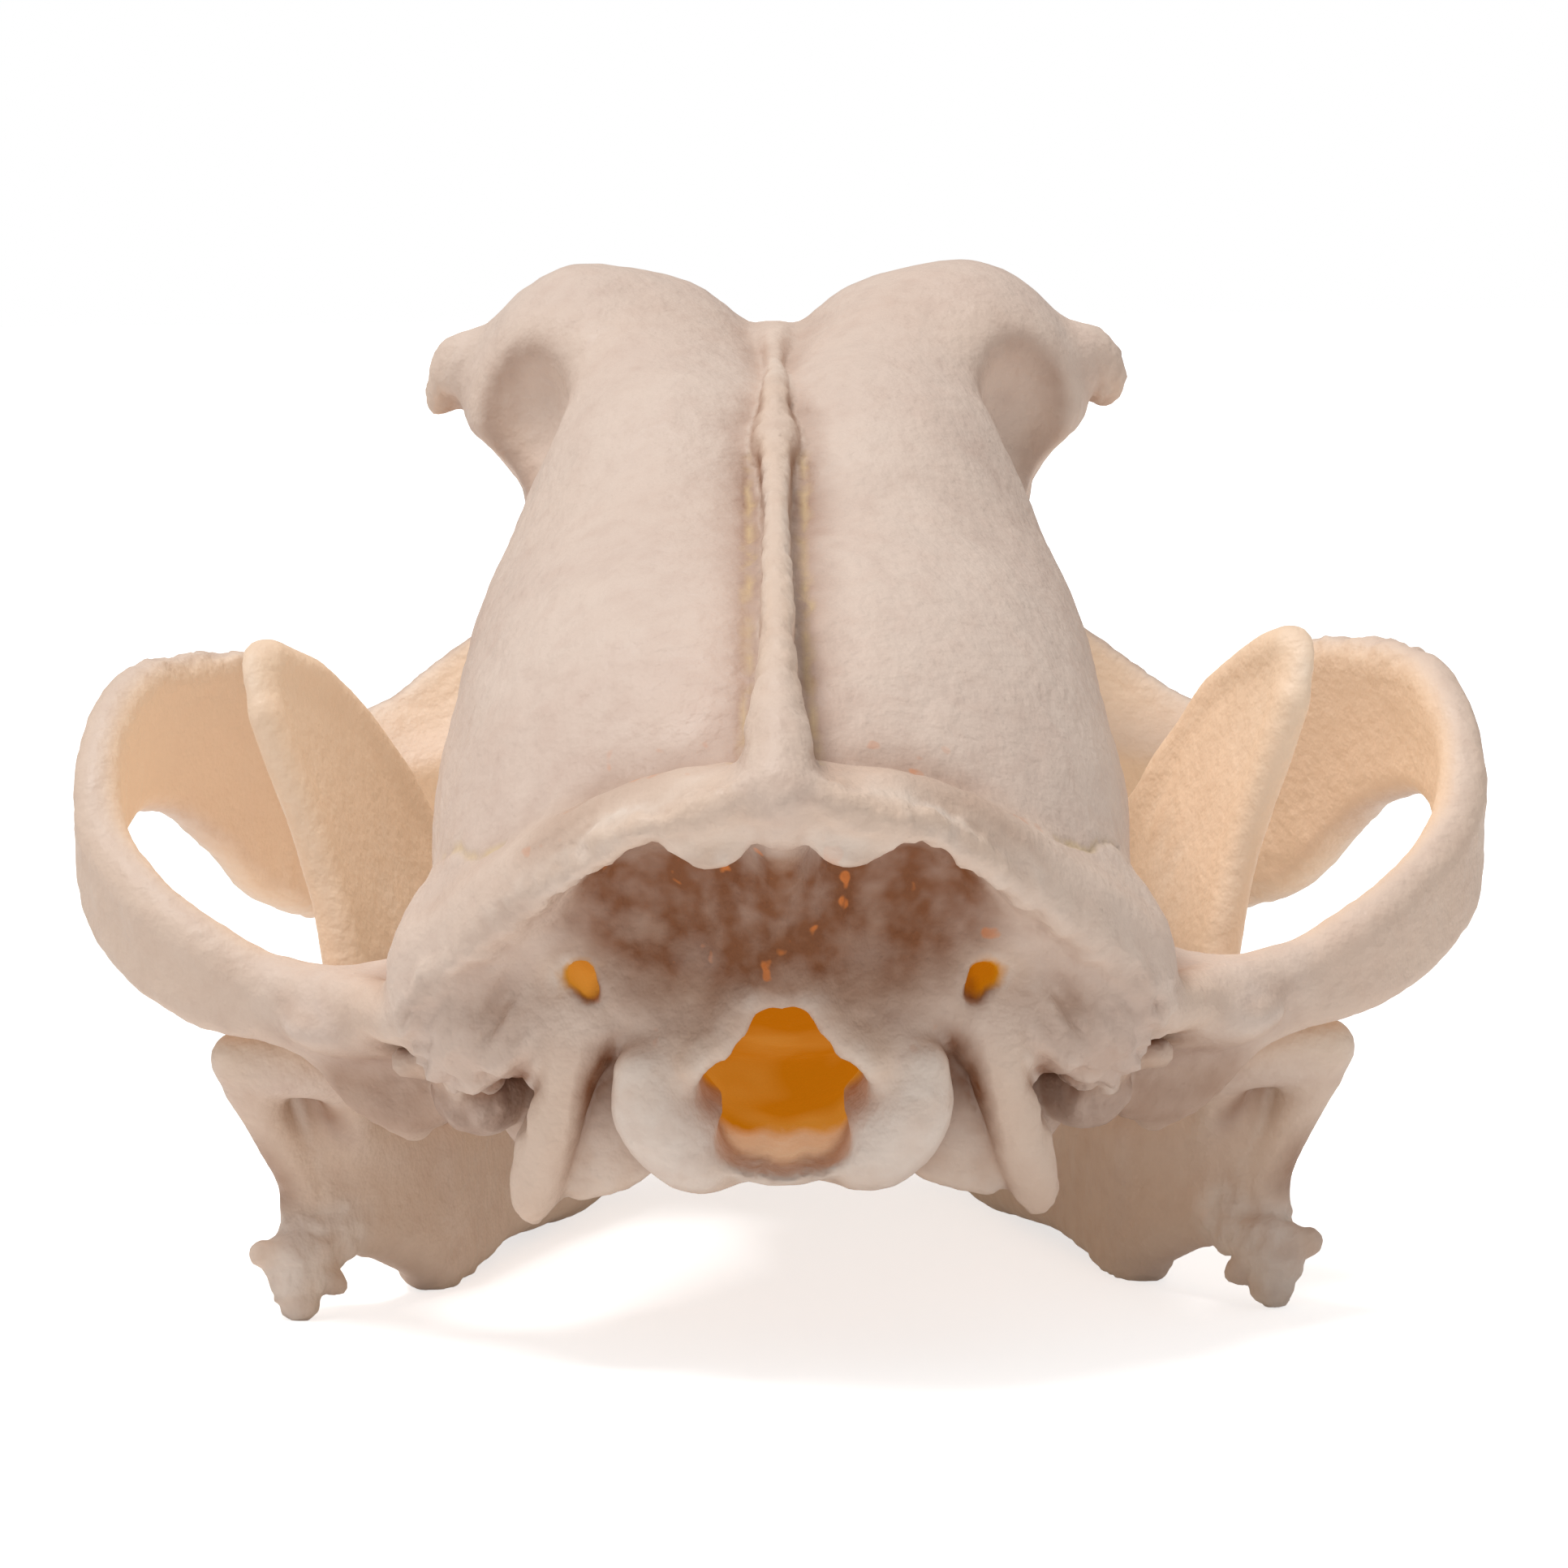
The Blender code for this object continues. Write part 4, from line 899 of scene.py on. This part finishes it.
class SKULL_OT_cranium(Operator):
    """Model the braincase, forehead, face and cheek arches as one bone"""
    bl_idname = "skull.cranium"
    bl_label = "Cranium"

    def execute(self, context):
        sizes = context.scene.skull_sizes
        clay = Clay((0, -18, -28), (72, 150, 68), 1000 * sizes.grain)
        add_braincase(clay)
        add_occiput(clay)
        add_sagittal_crest(clay)
        add_forehead(clay)
        add_skull_base(clay)
        add_snout(clay)
        add_cheek_arch(clay)
        carve_cranium(clay)
        seat_jaw_joint(clay)
        whole = clay.mirrored()
        carve_small_openings(whole)
        points, faces = drop_scraps(*whole.surface())
        out = whole.outward_at(points)
        rough = roughened(points)
        rise = 1000 * sizes.roughness * rough * (lumps(points, 1.7) + 0.6 * lumps(points, 0.8, 1))
        leaning_ridges = both_sides(points) @ ((1, 0, 0), (0, 1, 0), (0.6, 0, 0.3))
        rise += 0.7 * mastoid(points) * lumps(leaning_ridges, 1.1, 4)
        rise += 0.3 * occiput_recess(points) * lumps(points * (1, 1, 0.3), 1.6, 6)
        rise += 0.2 * lumps(points, 5, 2) + 0.1 * lumps(points, 1.4, 3) - 0.3 * seam_lines(points)
        piece = new_piece("cranium_bone", points + out * rise[:, None], faces)
        thinned(piece, sizes.bone_triangles)
        points = corners(piece.data)
        recess = occiput_recess(points)
        # Painted shade in the recess under the crest, on the mastoid faces and under the ear; the joint faces
        # are lightened as a painted highlight.
        shaded = np.maximum(recess, np.maximum(0.3 * mastoid(points), 0.55 * under_ear(points)))
        out = mark_bone(piece.data, whole, points, shaded, condyles(points))
        mark(piece.data, "recess", recess)
        mark(piece.data, "rough", np.maximum(roughened(points), 0.8 * mastoid(points)))
        mark(piece.data, "seam", seam_lines(points))
        mark(piece.data, "glow", chamber_glow(points, out))
        mark(piece.data, "inner", inner_walls(points, out))
        finish_piece(piece, CRANIUM_NODES, bone_material("Cranium bone"))
        return {"FINISHED"}


def carve_small_openings(whole):
    """Holes that only show on the finished bone: the pairs of vein holes at the back."""
    for side, low in ((-1, 0.3), (1, -0.2)):
        whole.cut(limb((17.4 * side, -8, 19.4 + low, 1.15), (17 * side, 20, 20, 1.3)), 0.6)
        whole.cut(limb((16.6 * side, -8, 18.2 + low, 0.8), (16.4 * side, 20, 19, 0.9)), 0.5)


def mastoid(points):
    """The ridged face below each end of the crest."""
    return nearness(both_sides(points), egg((27, 6, 11), (6, 7, 8), yaw=-40), 3)


def occiput_recess(points):
    """The shaded hollow under the crest at the back of the head."""
    folded = both_sides(points)
    hollow = nearness(folded, egg((7, 0, 28), (9, 6, 6.5), yaw=-20), 9)
    return hollow * np.clip(1.3 - nearness(folded, nuchal_edge(), 2.5) * 1.6, 0, 1)


def under_ear(points):
    """The shaded face below the root of the cheek arch."""
    return nearness(both_sides(points), egg((33, 18, 2.5), (8, 8, 4)), 5)


def condyles(points):
    """The smooth joint faces beside the opening at the back of the head, made pale by a painted highlight."""
    form = limb((8, -2.6, 5, 3), (11.4, -3, 8.6, 2.6), (12, -2.6, 12, 2))
    return 0.8 * nearness(both_sides(points), form, 2)


def strongest(points, marks):
    """The greatest of several marks, each a form, the reach over which it fades and its amount."""
    return np.max([amount * nearness(points, form, reach) for form, reach, amount in marks], axis=0)


def roughened(points):
    """Where muscle and sinew held on, the bone is lumpy."""
    return strongest(both_sides(points), (
        (nuchal_edge(), 1.5, 0.6), (sagittal_edge(), 1.2, 0.35), (egg((29, 9, 6), (4, 5, 4)), 3, 0.8),
        (limb((31, 88, 49, 3), (33.2, 88.2, 46, 2.8), (32.6, 88, 43, 2)), 3, 0.6),
        (limb((50, 76, 3, 1), (46, 82, -4, 1), (43, 88, -6, 1)), 3, 0.9),
        (limb((60, 63, 28, 1), (55, 71, 27, 1), (51, 77, 24, 1)), 3, 0.8),
        (limb((21.5, 5.8, 0, 2), (22.1, 6.4, -3.4, 1.8)), 2.5, 0.5), (egg((14, -3, 24), (9, 4, 8)), 3, 0.35),
    ))


def seam_lines(points):
    """Fine lines where bones meet: beside the crest, and over the side of the braincase."""
    folded = both_sides(points)
    wander = 0.5 * lumps(points, 2.2, 5)
    moved = folded + np.stack([wander, wander, wander], axis=1)
    beside_crest = strap((3.4, -4, 41, 5, 0.1), (3, 6, 44, 5, 0.1), (2.5, 30, 47, 5, 0.1),
                         (2.6, 50, 49, 5, 0.1))
    over_side = strap((31.5, 16, 27, 5, 0.1), (29, 13, 28.5, 5, 0.1), (26.5, 10.5, 27.5, 5, 0.1),
                      (22.5, 8, 28.5, 5, 0.1), up=(0.6, -0.4, 0.7))
    return strongest(moved, ((beside_crest, 0.45, 1), (over_side, 0.45, 1)))


def chamber_glow(points, out):
    """The walls of the brain chamber, seen through the opening at the back, which get a painted glow of light
    coming through the thin bone.
    """
    inside = brain_chamber()[2](*points.T)
    passage = chamber_passage()[2](*points.T)
    toward = ((np.array(CHAMBER_CENTRE) - points) * out).sum(axis=1)
    start = 2 + 1.2 * np.clip((10 - points[:, 2]) / 5, 0, 1)
    walls = np.clip((3.2 - np.minimum(inside, passage)) / 1.2, 0, 1) * (toward > 0)
    walls *= np.clip((points[:, 1] - start) / 2, 0, 1)
    holes = nearness(both_sides(points), limb((17.2, 3, 19.4, 1.6), (17, 20, 19.8, 1.8)), 0.7)
    return np.maximum(walls, holes * np.clip(points[:, 1] - 1.6, 0, 1))


def inner_walls(points, out):
    """Walls of the eye socket and cheek arch that face inwards, and the way into the chamber, which get
    painted warmth and glow of light through thin bone.
    """
    side = np.sign(points[:, 0])
    facing = np.clip(-out[:, 0] * side, 0, 1) * np.clip((np.abs(points[:, 0]) - 30) / 8, 0, 1)
    socket = np.clip((points[:, 1] - 60) / 12, 0, 1) * np.clip((34 - points[:, 2]) / 8, 0, 1)
    socket *= np.clip(-out[:, 1], 0, 1)
    passage = nearness(points, limb((0, 4, 6, 5), (0, 14, 7, 6)), 1.5) * np.clip(out[:, 2], 0, 1)
    return np.maximum(0.75 * np.maximum(facing, socket), 0.8 * passage)


class SKULL_OT_lower_jaw(Operator):
    """Model the two bones of the lower jaw"""
    bl_idname = "skull.lower_jaw"
    bl_label = "Lower jaw"

    def execute(self, context):
        sizes = context.scene.skull_sizes
        clay = Clay((0, 14, -46), (60, 166, 42), 1000 * sizes.grain)
        add_jaw_plate(clay)
        add_jaw_body(clay)
        carve_jaw(clay)
        clay.cut(middle_gap())
        for name, side in (("jaw_left", -1), ("jaw_right", 1)):
            points, faces = drop_scraps(*clay.surface())
            out = clay.outward_at(points)
            seed = 11 + side
            rough = 1000 * sizes.roughness * jaw_roughened(points)
            rise = rough * (lumps(points, 1.7, seed) + 0.6 * lumps(points, 0.8, seed + 20))
            folds = np.clip((points[:, 1] - 40) / 15, 0, 1) * np.clip(-out[:, 0], 0, 1)
            rise += 0.35 * folds * lumps(points * (1, 1, 0.35), 2.4, seed) + 0.1 * lumps(points, 4, seed)
            piece = new_piece(name + "_bone", points + out * rise[:, None], faces)
            thinned(piece, sizes.jaw_triangles)
            points = corners(piece.data)
            out = clay.outward_at(points)
            # Painted shade on the jaw plate below the joint, stronger on faces turned outwards; the jaw's
            # angle is lightened.
            shaded = nearness(points, egg((44, 40, -8), (9, 12, 11)), 4) * np.clip(out[:, 0] + 0.6, 0, 1)
            mark_bone(piece.data, clay, points, 0.62 * shaded, 0.8 * nearness(points, jaw_angle(), 2.5))
            mark(piece.data, "rough", jaw_roughened(points))
            # Painted warmth and glow, stronger higher up and on faces turned inwards.
            mark(piece.data, "inner", np.clip(points[:, 2] / 15, 0, 0.55) + 0.2 * np.clip(-out[:, 0], 0, 1))
            for unused in ("recess", "seam", "glow"):
                mark(piece.data, unused, np.zeros(len(points)))
            if side < 0:
                piece.data.transform(Matrix.Scale(-1, 4, (1, 0, 0)))
                piece.data.flip_normals()
            material = bone_material(name.replace("_", " ") + " bone", 0.7)
            finish_piece(piece, (name,), material)
        return {"FINISHED"}


def middle_gap():
    """Half of the thin gap between the two bones of the jaw."""
    half = 0.15
    return (0, 0, -60), (half, 200, 60), lambda x, y, z: x - half + 0 * y + 0 * z


def jaw_roughened(points):
    """The lumpy angle and lower edge of the jaw."""
    return strongest(points, ((jaw_angle(), 3, 0.8), (limb((32, 40, -27, 2), (34, 60, -32, 2)), 4, 0.5)))


def make_teeth(name, rows, down, node):
    """Model a whole row of teeth on both sides as one piece."""
    grain = millimetres("tooth_grain")
    points_all, faces_all, roots_all = [], [], []
    start = 0
    for row in rows:
        form = tooth(*row, down=down)
        clay = Clay(form[0] - 1.5, form[1] + 1.5, grain)
        clay.add(form)
        points, faces = clay.surface()
        gum = millimetres("upper_gum") if down else jaw_gum(row[0][1])
        above = (gum - points[:, 2]) if down else (points[:, 2] - gum)
        for side in (-1, 1):
            points_all.append(points * (side, 1, 1))
            roots_all.append(1 - above / 2.5)
            faces_all += [[i + start for i in (face if side > 0 else face[::-1])] for face in faces]
            start += len(points)
    piece = new_piece(name, np.concatenate(points_all), faces_all)
    mark(piece.data, "root", np.concatenate(roots_all))
    finish_piece(piece, node, enamel_material(name.replace("_", " ").capitalize() + " enamel"))


class SKULL_OT_upper_teeth(Operator):
    """Model the teeth of the upper jaw"""
    bl_idname = "skull.upper_teeth"
    bl_label = "Upper teeth"

    def execute(self, context):
        make_teeth("upper_teeth", UPPER_TEETH, True, ("snout",))
        return {"FINISHED"}


class SKULL_OT_lower_teeth(Operator):
    """Model the teeth of the lower jaw"""
    bl_idname = "skull.lower_teeth"
    bl_label = "Lower teeth"

    def execute(self, context):
        make_teeth("lower_teeth", LOWER_TEETH, False, ("jaw_left", "jaw_right"))
        return {"FINISHED"}


class SKULL_OT_studio(Operator):
    """Set the pale floor, the soft lights and the camera"""
    bl_idname = "skull.studio"
    bl_label = "Studio"

    def execute(self, context):
        scene = context.scene
        studio = scene.skull_studio
        reach = 30.0
        spots = np.array([(x * reach, y * reach, 0) for x, y in ((-1, -1), (1, -1), (1, 1), (-1, 1))])
        floor = new_piece("floor", spots, [[0, 1, 2, 3]])
        material, tree, shader, place = new_material("Studio floor")
        shader.inputs["Base Color"].default_value = (*studio.floor, 1)
        shader.inputs["Roughness"].default_value = 0.9
        shader.inputs["Specular IOR Level"].default_value = 0.1
        shader.inputs["Emission Color"].default_value = (1, 1, 1, 1)
        seen = tree.node("ShaderNodeLightPath").outputs["Is Camera Ray"]
        tree.feed(shader.inputs["Emission Strength"], tree.sum("MULTIPLY_ADD", seen, studio.floor_lift, 0.05))
        floor.data.materials.append(material)

        world = bpy.data.worlds.new("Studio")
        scene.world = world
        world.use_nodes = True
        tree = Tree(world.node_tree)
        sky = world.node_tree.nodes["Background"]
        seen = tree.node("ShaderNodeLightPath").outputs["Is Camera Ray"]
        around = tree.node("ShaderNodeTexCoord").outputs["Generated"]
        height = tree.node("ShaderNodeSeparateXYZ", Vector=around)
        low, high = 0.6 * studio.sky, 1.3 * studio.sky
        light = tree.mix(tree.ramp(height.outputs["Z"], 0.0, 0.9), (low, low, low), (high, high, high))
        tree.feed(sky.inputs["Color"], tree.mix(seen, light, (1.0, 1.0, 1.0)))

        lamp = bpy.data.lights.new("overhead", "SUN")
        lamp.energy = studio.sun
        lamp.angle = studio.sun_spread
        overhead = bpy.data.objects.new("overhead", lamp)
        overhead.rotation_euler = (studio.sun_back, studio.sun_side, 0)
        scene.collection.objects.link(overhead)

        lens = bpy.data.cameras.new("camera")
        lens.lens = studio.lens
        lens.sensor_width = 36
        camera = bpy.data.objects.new("camera", lens)
        camera.matrix_world = (Matrix.Translation(studio.camera_place)
                               @ Matrix.Rotation(math.pi / 2 - studio.camera_down, 4, "X")
                               @ Matrix.Rotation(studio.camera_roll, 4, "Z"))
        scene.collection.objects.link(camera)
        scene.camera = camera
        scene.view_settings.view_transform = "Standard"
        return {"FINISHED"}


class SKULL_PT_workshop(Panel):
    """Sizes, colours and pieces of the skull"""
    bl_idname = "SKULL_PT_workshop"
    bl_label = "Dog Skull"
    bl_space_type = "VIEW_3D"
    bl_region_type = "UI"
    bl_category = "Dog Skull"

    def draw(self, context):
        layout = self.layout
        for operator in OPERATORS:
            layout.operator(operator.bl_idname)
        for group in (context.scene.skull_sizes, context.scene.skull_finish, context.scene.skull_studio):
            box = layout.box()
            for name in group.bl_rna.properties.keys():
                if name not in ("rna_type", "name"):
                    box.prop(group, name)


GROUPS = {"skull_sizes": SkullSizes, "skull_finish": SkullFinish, "skull_studio": SkullStudio}
OPERATORS = (SKULL_OT_cranium, SKULL_OT_upper_teeth, SKULL_OT_lower_jaw, SKULL_OT_lower_teeth,
             SKULL_OT_studio)


def register():
    for group in (*GROUPS.values(), *OPERATORS, SKULL_PT_workshop):
        bpy.utils.register_class(group)
    for name, group in GROUPS.items():
        setattr(bpy.types.Scene, name, PointerProperty(type=group))


def unregister():
    for name in GROUPS:
        delattr(bpy.types.Scene, name)
    for group in (SKULL_PT_workshop, *reversed(OPERATORS), *reversed(GROUPS.values())):
        bpy.utils.unregister_class(group)


def main():
    register()
    for operator in OPERATORS:
        family, name = operator.bl_idname.split(".")
        getattr(getattr(bpy.ops, family), name)()


if __name__ == "__main__":
    main()
